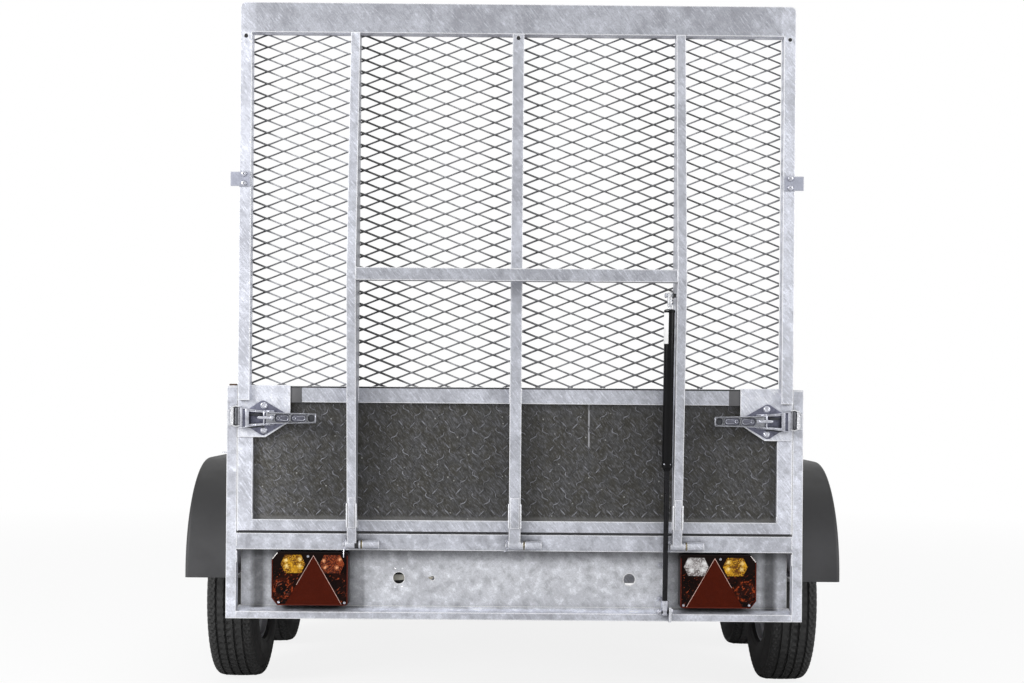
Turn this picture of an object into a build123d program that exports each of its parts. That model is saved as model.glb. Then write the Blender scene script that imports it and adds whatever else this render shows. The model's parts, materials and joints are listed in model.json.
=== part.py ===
"""Tandem-axle goods trailer with a tall mesh loading ramp, in millimetres.

+X is the trailer's right, +Y points forward to the coupling and +Z is up.
The origin is on the ground, in the middle of the trailer's footprint.
"""
from build123d import *
from math import atan2, cos, degrees, hypot, radians, sin, sqrt
import os

os.makedirs("parts", exist_ok=True)

# ---------------------------------------------------------------- driving sizes
# Overall stations, measured from the rear face of the body
FRONT_REACH = 4420.0        # coupling nose ahead of the rear face
BED_LENGTH = 3110.0         # rear face to the front of the headboard
BODY_HALF = 796.5           # outside of the posts and side rails
BODY_TOP = 990.0
FLOOR_TOP = 587.0
FLOOR_THICK = 18.0
RUN_FIT = 0.05              # radial clearance of a shaft in its bore
SEAT_GAP = 0.3              # small gap where one round piece seats in another

# Rear frame
POST_W = 28.0
POST_D = 30.0
FRAME_BOTTOM = 351.0
BEAM_H = 45.0               # upper beam, its top level with the floor
BEAM_D = 78.0
LIP_H = 19.5                # lower lip under the lamp recess
LEDGE_RISE = 11.5           # the lip's shelf climbs this much to the panel
PANEL_D = 48.0              # rear face to the back of the recessed panel
SHEET = 3.0                 # folded steel
PANEL_SLOT = 6.0            # open slot beside the recessed panel
PANEL_HOLE_D = 32.0
PANEL_HOLE_X = 322.0
PANEL_HOLE_DROP = 82.0
KEYHOLE_D = 12.0
KEYHOLE_X = -228.0

# Bed
RAIL_H = 120.0              # chassis side rails
CROSS_H = 45.0
CROSS_W = 40.0
CROSS_COUNT = 7
HEAD_D = 32.0               # headboard depth
TOP_RAIL_H = 40.0
SIDE_SHEET = 2.0
SWAGE_DEPTH = 9.0
SWAGE_H = 60.0
SWAGE_COUNT = 3
SIDE_POST_COUNT = 6

# Wheels and axles
WHEEL_GAP = 48.0            # body side to the tyre's inner wall
WHEEL_R = 298.0
TYRE_W = 165.0
REAR_AXLE = 1030.0          # behind face to rear axle
AXLE_SPACING = 710.0
TYRE_CROWN = 6.0            # shoulder rounding
GROOVE_X = (14.0, 42.0)     # tread grooves out from the middle
GROOVE_W = 7.0
GROOVE_D = 7.0
BEAD_R = 166.0
BEAD_SEAT = 16.0
RIM_WELL = 22.0
DISC_BULGE = 12.0
DRUM_SHOULDER = 12.0
RIM_HALF = 57.0             # between rim flanges, halved
RIM_FLANGE_R = 174.0
RIM_WELL_R = 146.0
RIM_THICK = 4.0
WHEEL_INSET = 30.0          # hub face outboard of the tyre's middle
HUB_FACE_R = 68.0
HUB_CAP_R = 30.0
HUB_CAP_L = 30.0
DRUM_R = 104.0
DRUM_L = 60.0
BACKPLATE_R = 112.0
BACKPLATE_T = 4.0
BACKPLATE_GAP = 5.0
STUB_R = 17.5
VENT_COUNT = 8
VENT_R = 13.0
VENT_PITCH_R = 106.0
AXLE_TUBE = 70.0            # square torsion axle
ARM_T = 20.0
ARM_REACH = 143.0           # tube ahead of the wheel centre
ARM_DROP = 47.0             # tube above the wheel centre
ARM_END_R = 34.0
BODY_CLEAR = 5.5            # between moving and fixed sides

# Mudguards
GUARD_W = 245.5
GUARD_TOP = 755.0
GUARD_BOTTOM = 387.0
GUARD_OVERHANG = 430.0      # wheel centre to the guard's end
GUARD_CORNER = 350.0
GUARD_T = 5.0
GUARD_LIP = 38.0
GUARD_EDGE_R = 12.0
STAY_T = 5.0
STAY_H = 40.0

# Ramp
HINGE_Y = -14.0             # hinge axis behind the rear face (negative is rearward)
HINGE_DROP = 28.0           # hinge axis below the floor
HINGE_R = 11.0
HINGE_PIN_R = 6.0
KNUCKLE_L = 41.0
KNUCKLE_SHIFT = 2.5         # moving knuckle off the rib's middle
KNUCKLE_GAP = 5.5
PIN_TAIL = 7.0
WASHER_GAP = 1.5
FIXED_KNUCKLE_L = 46.0
RAMP_GAP = 5.0              # ramp's foot above the beam
RAMP_CLEAR = 2.5            # between the ramp's sides and the posts
RAMP_TUBE_W = 41.0
RAMP_TUBE_D = 45.0
LOWER_RISE = 4.0            # lower frame's top above the posts
CROSS_RAIL_H = 45.0
BOTTOM_RAIL_H = 33.0
TREAD_Y = 15.0
UPPER_IN = 2.0              # upper frame narrower than the lower, each side
UPPER_TUBE_W = 32.0
UPPER_TUBE_D = 40.0
UPPER_PROUD = 20.0          # upper frame's face behind the rear face
UPPER_LAP = 40.0            # tongue down the gusset
RAMP_TOP = 2048.0
LIP_PLATE_H = 82.0
LIP_T = 5.0
LIP_CORNER = 15.0
DRAIN_R = 4.5
DRAIN_DROP = 9.0
GUSSET_T = 4.0
GUSSET_W = 144.5
GUSSET_H = 144.0
GUSSET_RISE = 2.0           # gusset's top above the lower frame
GUSSET_CUT_X = 68.0
GUSSET_CUT_Z = 44.0

# Ribs: channel beams, deepest at the brace
RIB_X = 447.0
RIB_W = 25.0
RIB_BACK = 15.0
RIB_FRONT_LOW = -36.0
RIB_FRONT_MID = -100.0
RIB_FRONT_TOP = -27.0
RIB_KNEE_Z = 1298.0
RIB_FOOT = 8.0              # rib's heel above the ramp's foot
CENTRE_RIB_W = 32.0
CENTRE_RIB_FRONT = -25.0
FOOT_CLEAR = 5.0
BRACE_H = 34.0

# Expanded mesh
MESH_LONG = 90.0            # diamond length across
MESH_SHORT = 34.0           # diamond height
STRAND_W = 3.6
STRAND_T = 2.0
MESH_RIM = 4.0

# Gas strut
STRUT_CLEAR = 5.5           # sleeve beside the rib
STRUT_TOP_IN = 16.0         # upper pin inside the rib's knee
STRUT_TOP_DROP = 52.0       # upper pin below the brace
STRUT_FOOT_Y = -15.0
STRUT_FOOT_RISE = 29.0      # lower pin above the rear frame's lower edge
STRUT_R = 14.0
STRUT_ROD_R = 7.0
STRUT_HEAD = 36.0           # pin to the start of the sleeve
STRUT_SLEEVE = 434.0
STRUT_ENGAGED = 70.0        # rod inside the sleeve at rest
STRUT_EYE_R = 12.0
STRUT_EYE_W = 16.0
STRUT_FOOT_EYE_R = 9.0
STRUT_PIN_R = 5.0
BRACKET_T = 6.0

# Latches
LATCH_IN = 69.0             # latch's middle inside the ramp's edge
LATCH_DROP = 91.0           # and below the gusset's top
LATCH_PLATE_W = 124.0
LATCH_PLATE_H = 93.0
LATCH_PLATE_T = 3.0
LATCH_BODY_W = 36.0
LATCH_BODY_H = 44.0
LATCH_BODY_D = 17.0
LEVER_W = 28.0
LEVER_T = 6.0
LEVER_L = 151.0
CLAW_ARM = 6.0
CLAW_T = 8.0
KEEPER_W = 10.0
KEEPER_H = 34.0
KEEPER_D = 22.0
KEEPER_CLEAR = 4.0

# Lugs on the upper frame
LUG_Z = 1561.0
LUG_W = 54.0
LUG_H = 39.0
LUG_T = 4.0
LUG_OUT = 25.0

# Rear lamps
LAMP_OUT = 98.0             # lamp's outer end inside the post
LAMP_TOP_GAP = 6.5
LAMP_W = 211.0
LAMP_H = 148.0
LAMP_D = 42.0
LAMP_CHAMFER_X = 16.0
LAMP_CHAMFER_Z = 20.0
LAMP_CORNER = 5.0
TRIANGLE_IN = 10.0          # apex inward of the lamp's middle
TRIANGLE_LIFT = 3.0
TRIANGLE_SIDE = 156.0
TRIANGLE_T = 2.0
LENS_T = 6.0
LENS_W = 68.0
LENS_H = 50.0
LENS_NOSE = 12.0
LENS_DROP = 33.0            # lens middle below the lamp's top
LENS_OUT = 46.0             # outer lens outward of the lamp's middle
LENS_IN = 62.0

# Drawbar, coupling and brake
LEG_W = 40.0
LEG_H = 80.0
LEG_UNDER = 1060.0          # legs reach this far under the bed
SHAFT_L = 250.0             # housing to the coupling head
LEG_FRONT_X = 80.0
HITCH_W = 90.0
HITCH_H = 76.0
HITCH_L = 330.0
HOUSING_L = 198.0
HITCH_FLANGE = 8.0
HITCH_FLANGE_HALF = 105.0
SHAFT_R = 25.0
GAITER_L = 150.0
GAITER_R = 42.0
GAITER_FOLDS = 7
HEAD_L = 190.0
HEAD_HALF = 37.0
BALL_R = 25.0
BALL_BACK = 42.0            # ball centre behind the nose
BALL_CLEAR = 0.5
BRAKE_LEVER_L = 420.0
BRAKE_LEVER_W = 30.0
BRAKE_LEVER_T = 12.0
BRAKE_LEVER_BACK = 132.0    # pivot behind the legs' front ends
BRAKE_LEVER_LEAN = 105.0
BRAKE_LEVER_TIP_R = 10.0
HEAD_HANDLE_W = 30.0
HEAD_HANDLE_T = 14.0
HEAD_HANDLE_H = 48.0
HEAD_HANDLE_FOOT = 76.0
HEAD_HANDLE_END = 62.0       # handle's tip behind the nose

# Jockey wheel
JOCKEY_OUT = 4.0            # clamp ring outside the drawbar leg
JOCKEY_BACK = 150.0         # behind the legs' front ends
JOCKEY_TUBE_R = 24.0
JOCKEY_TUBE_LOW = 300.0
JOCKEY_TUBE_TOP = 745.0
JOCKEY_LEG_R = 20.0
JOCKEY_WHEEL_R = 100.0
JOCKEY_WHEEL_W = 50.0
JOCKEY_TRAIL = 38.0
JOCKEY_CROWN_Z = 222.0
FORK_T = 5.0
FORK_GAP = 6.0
FORK_PIN_R = 8.0
JOCKEY_AXLE_R = 8.0
JOCKEY_ENGAGED = 150.0      # leg inside the outer tube at rest
FORK_PIN_L = 60.0
JOCKEY_ROUND = 12.0
HANDLE_RISE = 30.0
HANDLE_ARM = 120.0
CLAMP_T = 8.0
CLAMP_H = 60.0
CLAMP_W = 50.0

# ---------------------------------------------------------------- worked out
REAR = -(FRONT_REACH + RIB_FRONT_MID) / 2       # row y of the body's rear face
NOSE = REAR + FRONT_REACH
POST_INNER = BODY_HALF - POST_W
POST_X = BODY_HALF - POST_W / 2
BED_FRONT = REAR + BED_LENGTH
AXLES = (("rear", REAR + REAR_AXLE), ("front", REAR + REAR_AXLE + AXLE_SPACING))
SIDES = (("left", -1), ("right", 1))
RAIL_LOW = FLOOR_TOP - RAIL_H
RAMP_HALF = POST_INNER - RAMP_CLEAR
UPPER_HALF = RAMP_HALF - UPPER_IN
RIB_COLUMNS = (-RIB_X, 0.0, RIB_X)
WHEEL_X = BODY_HALF + WHEEL_GAP + TYRE_W / 2
GUARD_OUTER = BODY_HALF + GUARD_W
BEAM_LOW = FLOOR_TOP - BEAM_H
LIP_TOP = FRAME_BOTTOM + LIP_H
LEDGE_TOP = LIP_TOP + LEDGE_RISE
PANEL_HOLE_Z = BEAM_LOW - PANEL_HOLE_DROP
HINGE_Z = FLOOR_TOP - HINGE_DROP
RAMP_LOW = FLOOR_TOP + RAMP_GAP
LOWER_TOP = BODY_TOP + LOWER_RISE
LIP_LOW = RAMP_TOP - LIP_PLATE_H
GUSSET_TOP = LOWER_TOP + GUSSET_RISE
GUSSET_LOW = GUSSET_TOP - GUSSET_H
RIB_FOOT_Z = RAMP_LOW + RIB_FOOT
STRUT_X = RIB_X - RIB_W / 2 - STRUT_CLEAR - STRUT_R
STRUT_TOP_Y = RIB_FRONT_MID + STRUT_TOP_IN
STRUT_TOP_Z = RIB_KNEE_Z - STRUT_TOP_DROP
STRUT_FOOT_Z = FRAME_BOTTOM + STRUT_FOOT_RISE
LATCH_X = RAMP_HALF - LATCH_IN
LATCH_Z = GUSSET_TOP - LATCH_DROP
LEVER_TIP_X = LATCH_X - LEVER_L
LAMP_X = POST_INNER - LAMP_OUT - LAMP_W / 2
LAMP_Z = BEAM_LOW - LAMP_TOP_GAP - LAMP_H / 2
TRIANGLE_X = LAMP_X - TRIANGLE_IN
LENS_OUTER_X = LAMP_X + LENS_OUT
LENS_INNER_X = LAMP_X - LENS_IN
HINGE_AXIS_Y = REAR + HINGE_Y
LEG_AXIS_Z = RAIL_LOW - LEG_H / 2
LEG_FRONT_Y = FRONT_REACH - HEAD_L - SHAFT_L
LEG_REAR_Y = BED_LENGTH - LEG_UNDER
JOCKEY_Y = LEG_FRONT_Y - JOCKEY_BACK


def save(builder, name):
    """Label a finished piece and write its STEP file."""
    builder.part.label = name
    export_step(builder.part, f"parts/{name}.step")


def across(y):
    """Plane facing rearward at row y: local x is +X, local y is +Z."""
    return Plane.XZ.offset(-y)


def side(x):
    """Plane facing right at row x: local x is +Y, local y is +Z."""
    return Plane.YZ.offset(x)


def block(x, y, z):
    """Box from its low and high limits along each axis, added to the open part."""
    with Locations((sum(x) / 2, sum(y) / 2, sum(z) / 2)):
        Box(x[1] - x[0], y[1] - y[0], z[1] - z[0])


# ---------------------------------------------------------------- rear frame
BEAM_BACK = REAR + BEAM_D
PANEL_Y = REAR + PANEL_D

with BuildPart() as rear_frame:
    # corner posts
    block((POST_INNER, BODY_HALF), (REAR, REAR + POST_D), (FRAME_BOTTOM, BODY_TOP))
    mirror(about=Plane.YZ)
    # upper beam and lower lip, folded round the lamp recess
    # columns: low y, high y, low z, high z
    for low_y, high_y, low_z, high_z in (
        (REAR, BEAM_BACK, FLOOR_TOP - SHEET, FLOOR_TOP),
        (REAR, REAR + SHEET, BEAM_LOW, FLOOR_TOP),
        (REAR, BEAM_BACK, BEAM_LOW, BEAM_LOW + SHEET),
        (BEAM_BACK - SHEET, BEAM_BACK, BEAM_LOW, FLOOR_TOP),
        (REAR, REAR + SHEET, FRAME_BOTTOM, LIP_TOP),
    ):
        block((-POST_INNER, POST_INNER), (low_y, high_y), (low_z, high_z))
    with BuildSketch(side(-POST_INNER)):
        with BuildLine():
            Polyline(
                (REAR, LIP_TOP - SHEET),
                (PANEL_Y, LEDGE_TOP - SHEET),
                (PANEL_Y, LEDGE_TOP),
                (REAR, LIP_TOP),
                close=True,
            )
        make_face()
    extrude(amount=2 * POST_INNER)
    panel_half = POST_INNER - PANEL_SLOT
    block((-panel_half, panel_half), (PANEL_Y - SHEET, PANEL_Y), (LEDGE_TOP - SHEET, BEAM_LOW + SHEET))
    with BuildSketch(across(PANEL_Y)):
        with Locations((-PANEL_HOLE_X, PANEL_HOLE_Z), (PANEL_HOLE_X, PANEL_HOLE_Z)):
            Circle(PANEL_HOLE_D / 2)
        with Locations((KEYHOLE_X, PANEL_HOLE_Z)):
            Circle(KEYHOLE_D / 2)
    extrude(amount=SHEET, mode=Mode.SUBTRACT)
save(rear_frame, "rear_frame")

# ---------------------------------------------------------------- bed
RAIL_REAR = REAR + POST_D
RAIL_FRONT = BED_FRONT - HEAD_D
SHEET_REAR = REAR + RAMP_TUBE_D + BODY_CLEAR
FLOOR_LOW = FLOOR_TOP - FLOOR_THICK

with BuildPart() as side_rails:
    # pressed channels, open towards the middle of the trailer
    with BuildSketch(across(RAIL_FRONT)):
        with Locations((POST_X, FLOOR_TOP - RAIL_H / 2)):
            Rectangle(POST_W, RAIL_H)
        with Locations((POST_X - SHEET, FLOOR_TOP - RAIL_H / 2)):
            Rectangle(POST_W, RAIL_H - 2 * SHEET, mode=Mode.SUBTRACT)
    extrude(amount=RAIL_FRONT - RAIL_REAR)
    mirror(about=Plane.YZ)
save(side_rails, "side_rails")

with BuildPart() as cross_members:
    # top-hat bearers under the floor, spread evenly between the end frames
    pitch = (RAIL_FRONT - BEAM_BACK) / (CROSS_COUNT + 1)
    for row in range(CROSS_COUNT):
        middle = BEAM_BACK + pitch * (row + 1)
        with BuildSketch(side(-POST_INNER)):
            with Locations((middle, FLOOR_LOW - CROSS_H / 2)):
                Rectangle(CROSS_W, CROSS_H)
            with Locations((middle, FLOOR_LOW - CROSS_H / 2 + SHEET)):
                Rectangle(CROSS_W - 2 * SHEET, CROSS_H, mode=Mode.SUBTRACT)
        extrude(amount=2 * POST_INNER)
save(cross_members, "cross_members")

with BuildPart() as floor:
    block((-POST_INNER, POST_INNER), (BEAM_BACK, RAIL_FRONT), (FLOOR_LOW, FLOOR_TOP))
save(floor, "floor")

with BuildPart() as side_frames:
    # top rails welded to pillars that stand on the side rails
    block((POST_INNER, BODY_HALF), (RAIL_REAR, RAIL_FRONT), (BODY_TOP - TOP_RAIL_H, BODY_TOP))
    spacing = (RAIL_FRONT - RAIL_REAR) / SIDE_POST_COUNT
    for row in range(1, SIDE_POST_COUNT):
        middle = RAIL_REAR + spacing * row
        block(
            (POST_INNER + SIDE_SHEET, BODY_HALF),
            (middle - POST_W / 2, middle + POST_W / 2),
            (FLOOR_TOP, BODY_TOP - TOP_RAIL_H),
        )
    mirror(about=Plane.YZ)
save(side_frames, "side_frames")

with BuildPart() as side_panels:
    # thin sheet with long pressed swages standing into the bed
    panel_h = BODY_TOP - TOP_RAIL_H - FLOOR_TOP
    swage_pitch = panel_h / SWAGE_COUNT
    outer = [(POST_INNER + SIDE_SHEET, FLOOR_TOP)]
    inner = [(POST_INNER, FLOOR_TOP)]
    for row in range(SWAGE_COUNT):
        middle = FLOOR_TOP + swage_pitch * (row + 0.5)
        for depth, height in (
            (0, -SWAGE_H / 2 - SWAGE_DEPTH),
            (SWAGE_DEPTH, -SWAGE_H / 2),
            (SWAGE_DEPTH, SWAGE_H / 2),
            (0, SWAGE_H / 2 + SWAGE_DEPTH),
        ):
            outer.append((POST_INNER + SIDE_SHEET - depth, middle + height))
            inner.append((POST_INNER - depth, middle + height))
    outer.append((POST_INNER + SIDE_SHEET, BODY_TOP - TOP_RAIL_H))
    inner.append((POST_INNER, BODY_TOP - TOP_RAIL_H))
    with BuildSketch(across(RAIL_FRONT)):
        Polygon(*outer, *reversed(inner), align=None)
    extrude(amount=RAIL_FRONT - SHEET_REAR)
    mirror(about=Plane.YZ)
save(side_panels, "side_panels")

with BuildPart() as headboard:
    # front wall: two posts, a top rail, a bottom beam and a swaged sheet
    block((POST_INNER, BODY_HALF), (RAIL_FRONT, BED_FRONT), (RAIL_LOW, BODY_TOP))
    mirror(about=Plane.YZ)
    block((-POST_INNER, POST_INNER), (RAIL_FRONT, BED_FRONT), (BODY_TOP - TOP_RAIL_H, BODY_TOP))
    block((-POST_INNER, POST_INNER), (RAIL_FRONT, BED_FRONT), (RAIL_LOW, FLOOR_TOP))
    block(
        (-POST_INNER, POST_INNER),
        (BED_FRONT - SWAGE_DEPTH - SIDE_SHEET, BED_FRONT - SWAGE_DEPTH),
        (FLOOR_TOP, BODY_TOP - TOP_RAIL_H),
    )
    for row in range(SWAGE_COUNT):
        middle = FLOOR_TOP + swage_pitch * (row + 0.5)
        with BuildSketch(side(-POST_INNER)):
            with Locations((BED_FRONT - SWAGE_DEPTH, middle)):
                Trapezoid(SWAGE_H + 2 * SWAGE_DEPTH, SWAGE_DEPTH, 45, rotation=-90,
                          align=(Align.CENTER, Align.MIN))
        extrude(amount=2 * POST_INNER)
save(headboard, "headboard")

# ---------------------------------------------------------------- axles
ARM_OUT = BODY_HALF + BODY_CLEAR + ARM_T
HUB_BACK = WHEEL_X + WHEEL_INSET - DRUM_L            # inboard end of the drum
BACKPLATE_OUT = HUB_BACK - BACKPLATE_GAP
TUBE_Z = WHEEL_R + ARM_DROP
TUBE_TOP = TUBE_Z + AXLE_TUBE / 2

for place, axle_y in AXLES:
    with BuildPart() as axle:
        # square torsion tube with trailing arms, stub axles and brake backplates
        tube_y = axle_y + ARM_REACH
        block(
            (-BODY_HALF - BODY_CLEAR, BODY_HALF + BODY_CLEAR),
            (tube_y - AXLE_TUBE / 2, tube_y + AXLE_TUBE / 2),
            (TUBE_Z - AXLE_TUBE / 2, TUBE_Z + AXLE_TUBE / 2),
        )
        with BuildSketch(side(BODY_HALF + BODY_CLEAR)):
            with Locations((tube_y, TUBE_Z)):
                Circle(ARM_END_R)
            with Locations((axle_y, WHEEL_R)):
                Circle(ARM_END_R)
            make_hull()
        extrude(amount=ARM_T)
        with BuildSketch(side(ARM_OUT)):
            with Locations((axle_y, WHEEL_R)):
                Circle(ARM_END_R)
        extrude(amount=BACKPLATE_OUT - BACKPLATE_T - ARM_OUT)
        with BuildSketch(side(BACKPLATE_OUT - BACKPLATE_T)):
            with Locations((axle_y, WHEEL_R)):
                Circle(BACKPLATE_R)
        extrude(amount=BACKPLATE_T)
        with BuildSketch(side(BACKPLATE_OUT)):
            with Locations((axle_y, WHEEL_R)):
                Circle(STUB_R)
        extrude(amount=WHEEL_X + WHEEL_INSET - BACKPLATE_OUT)
        mirror(about=Plane.YZ)
    save(axle, f"axle_{place}")

with BuildPart() as axle_brackets:
    # plates that hang the torsion tubes under the side rails
    for place, axle_y in AXLES:
        tube_y = axle_y + ARM_REACH
        with BuildSketch(side(POST_INNER)):
            with BuildLine():
                Polyline(
                    (tube_y - AXLE_TUBE, RAIL_LOW),
                    (tube_y + AXLE_TUBE, RAIL_LOW),
                    (tube_y + AXLE_TUBE / 2, TUBE_TOP),
                    (tube_y - AXLE_TUBE / 2, TUBE_TOP),
                    close=True,
                )
            make_face()
        extrude(amount=POST_W)
    mirror(about=Plane.YZ)
save(axle_brackets, "axle_brackets")

# ---------------------------------------------------------------- wheels
HUB_FACE = WHEEL_INSET                               # outboard of the tyre's middle
for place, axle_y in AXLES:
    for hand, sign in SIDES:
        # local x points outboard along the axle, local y points up
        centre = (sign * WHEEL_X, axle_y, WHEEL_R)
        wheel_plane = Plane(origin=centre, x_dir=(sign, 0, 0), z_dir=(0, -sign, 0))
        spin = Axis(centre, (1, 0, 0))

        with BuildPart() as tyre:
            half = TYRE_W / 2
            crown = TYRE_W * 0.4
            shoulder_r = WHEEL_R - TYRE_CROWN
            with BuildSketch(wheel_plane):
                with BuildLine():
                    Polyline(
                        (0, BEAD_R + SEAT_GAP),
                        (RIM_HALF - SEAT_GAP, BEAD_R + SEAT_GAP),
                        (RIM_HALF - SEAT_GAP, RIM_FLANGE_R + SEAT_GAP),
                    )
                    ThreePointArc(
                        (RIM_HALF - SEAT_GAP, RIM_FLANGE_R + SEAT_GAP),
                        (half, (BEAD_R + WHEEL_R) / 2),
                        (crown + TYRE_CROWN, shoulder_r - TYRE_CROWN),
                    )
                    Polyline(
                        (crown + TYRE_CROWN, shoulder_r - TYRE_CROWN),
                        (crown, shoulder_r),
                        (GROOVE_X[1] + GROOVE_W / 2, WHEEL_R),
                        (GROOVE_X[1] + GROOVE_W / 2, WHEEL_R - GROOVE_D),
                        (GROOVE_X[1] - GROOVE_W / 2, WHEEL_R - GROOVE_D),
                        (GROOVE_X[1] - GROOVE_W / 2, WHEEL_R),
                        (GROOVE_X[0] + GROOVE_W / 2, WHEEL_R),
                        (GROOVE_X[0] + GROOVE_W / 2, WHEEL_R - GROOVE_D),
                        (GROOVE_X[0] - GROOVE_W / 2, WHEEL_R - GROOVE_D),
                        (GROOVE_X[0] - GROOVE_W / 2, WHEEL_R),
                        (0, WHEEL_R),
                    )
                    mirror(about=Plane.YZ)
                make_face()
            revolve(axis=spin)
        save(tyre, f"tyre_{place}_{hand}")

        with BuildPart() as rim:
            # rolled barrel with a dished, vented disc
            with BuildSketch(wheel_plane):
                with BuildLine():
                    Polyline(
                        (-RIM_HALF - RIM_THICK, RIM_FLANGE_R),
                        (-RIM_HALF, RIM_FLANGE_R),
                        (-RIM_HALF, BEAD_R),
                        (-RIM_HALF + BEAD_SEAT, BEAD_R),
                        (-RIM_HALF + BEAD_SEAT + RIM_THICK, RIM_WELL_R),
                        (RIM_WELL, RIM_WELL_R),
                        (RIM_HALF - BEAD_SEAT, BEAD_R),
                        (RIM_HALF, BEAD_R),
                        (RIM_HALF, RIM_FLANGE_R),
                        (RIM_HALF + RIM_THICK, RIM_FLANGE_R),
                        (RIM_HALF + RIM_THICK, BEAD_R - RIM_THICK),
                        (RIM_HALF - BEAD_SEAT, BEAD_R - RIM_THICK),
                        (RIM_WELL, RIM_WELL_R - RIM_THICK),
                        (-RIM_HALF + BEAD_SEAT, RIM_WELL_R - RIM_THICK),
                        (-RIM_HALF + BEAD_SEAT - RIM_THICK, BEAD_R - RIM_THICK),
                        (-RIM_HALF - RIM_THICK, BEAD_R - RIM_THICK),
                        close=True,
                    )
                make_face()
                with BuildLine():
                    Polyline(
                        (HUB_FACE, HUB_CAP_R + RIM_THICK),
                        (HUB_FACE, HUB_FACE_R),
                        (HUB_FACE + DISC_BULGE, HUB_FACE_R + DISC_BULGE),
                        (HUB_FACE + DISC_BULGE, VENT_PITCH_R + VENT_R + RIM_THICK),
                        (RIM_WELL - 3 * RIM_THICK, RIM_WELL_R - RIM_THICK / 2),
                        (RIM_WELL - 2 * RIM_THICK, RIM_WELL_R - RIM_THICK / 2),
                        (HUB_FACE + DISC_BULGE + RIM_THICK, VENT_PITCH_R + VENT_R + 2 * RIM_THICK),
                        (HUB_FACE + DISC_BULGE + RIM_THICK, HUB_FACE_R + DISC_BULGE - RIM_THICK),
                        (HUB_FACE + RIM_THICK, HUB_FACE_R - RIM_THICK),
                        (HUB_FACE + RIM_THICK, HUB_CAP_R + RIM_THICK),
                        close=True,
                    )
                make_face()
            revolve(axis=spin)
            with BuildSketch(side(sign * (WHEEL_X + HUB_FACE))):
                with Locations((axle_y, WHEEL_R)):
                    with PolarLocations(VENT_PITCH_R, VENT_COUNT):
                        Circle(VENT_R)
            extrude(amount=sign * (DISC_BULGE + 2 * RIM_THICK), mode=Mode.SUBTRACT)
        save(rim, f"rim_{place}_{hand}")

        with BuildPart() as drum:
            # brake drum, hub and grease cap in one casting
            with BuildSketch(wheel_plane):
                with BuildLine():
                    Polyline(
                        (HUB_FACE - DRUM_L, STUB_R + RUN_FIT),
                        (HUB_FACE - DRUM_L, DRUM_R),
                        (HUB_FACE - DRUM_SHOULDER, DRUM_R),
                        (HUB_FACE, HUB_FACE_R),
                        (HUB_FACE, HUB_CAP_R),
                        (HUB_FACE + HUB_CAP_L, HUB_CAP_R - RIM_THICK),
                        (HUB_FACE + HUB_CAP_L, 0),
                        (HUB_FACE + SEAT_GAP, 0),
                        (HUB_FACE + SEAT_GAP, STUB_R + RUN_FIT),
                        close=True,
                    )
                make_face()
            revolve(axis=spin)
        save(drum, f"drum_{place}_{hand}")

# ---------------------------------------------------------------- mudguards
GUARD_REAR = AXLES[0][1] - GUARD_OVERHANG
GUARD_FRONT = AXLES[1][1] + GUARD_OVERHANG
GUARD_INNER = BODY_HALF + SEAT_GAP
STAY_RISE = RAIL_LOW + STAY_H - (GUARD_TOP - GUARD_CORNER)     # stay's top above the arch's centre
STAY_IN = GUARD_CORNER + SEAT_GAP - sqrt((GUARD_CORNER - GUARD_T) ** 2 - STAY_RISE ** 2)


def guard_outline(inset):
    """Arch over both wheels, open below, drawn a given distance inside its outer skin."""
    rear, front, top = GUARD_REAR + inset, GUARD_FRONT - inset, GUARD_TOP - inset
    corner = GUARD_CORNER - inset
    with BuildSketch(Plane.XY, mode=Mode.PRIVATE) as outline:
        with BuildLine():
            FilletPolyline(
                (rear, GUARD_BOTTOM), (rear, top), (front, top), (front, GUARD_BOTTOM), radius=corner
            )
            Line((front, GUARD_BOTTOM), (rear, GUARD_BOTTOM))
        make_face()
    return outline.sketch


for hand, sign in SIDES:
    with BuildPart() as mudguard:
        with BuildSketch(side(sign * GUARD_INNER)):
            add(guard_outline(0))
        extrude(amount=sign * (GUARD_OUTER - GUARD_INNER))
        outer_edges = mudguard.faces().sort_by(Axis.X)[-1 if sign > 0 else 0].edges()
        fillet(outer_edges.filter_by(lambda edge: edge.center().Z > GUARD_BOTTOM + 1), GUARD_EDGE_R)
        with BuildSketch(side(sign * GUARD_INNER)):
            add(guard_outline(GUARD_T))
        extrude(amount=sign * (GUARD_OUTER - GUARD_INNER - GUARD_T), mode=Mode.SUBTRACT)
        with BuildSketch(side(sign * GUARD_INNER)):
            add(guard_outline(GUARD_LIP))
        extrude(amount=sign * (GUARD_OUTER - GUARD_INNER + GUARD_T), mode=Mode.SUBTRACT)
    save(mudguard, f"mudguard_{hand}")

with BuildPart() as guard_brackets:
    # flat stays from the side rails to the lower ends of both mudguards
    for end in (GUARD_REAR + STAY_IN, GUARD_FRONT - STAY_IN - STAY_T):
        block((BODY_HALF, GUARD_OUTER - GUARD_EDGE_R), (end, end + STAY_T), (RAIL_LOW, RAIL_LOW + STAY_H))
    mirror(about=Plane.YZ)
save(guard_brackets, "guard_brackets")

# ---------------------------------------------------------------- rear lamps
LAMP_FACE = PANEL_Y - SHEET - LAMP_D                 # row y of the lamp's front
LAMP_TOP = LAMP_Z + LAMP_H / 2
LAMP_LOW = LAMP_Z - LAMP_H / 2
LAMP_OUTER = LAMP_X + LAMP_W / 2
LAMP_INNER = LAMP_X - LAMP_W / 2

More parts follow.
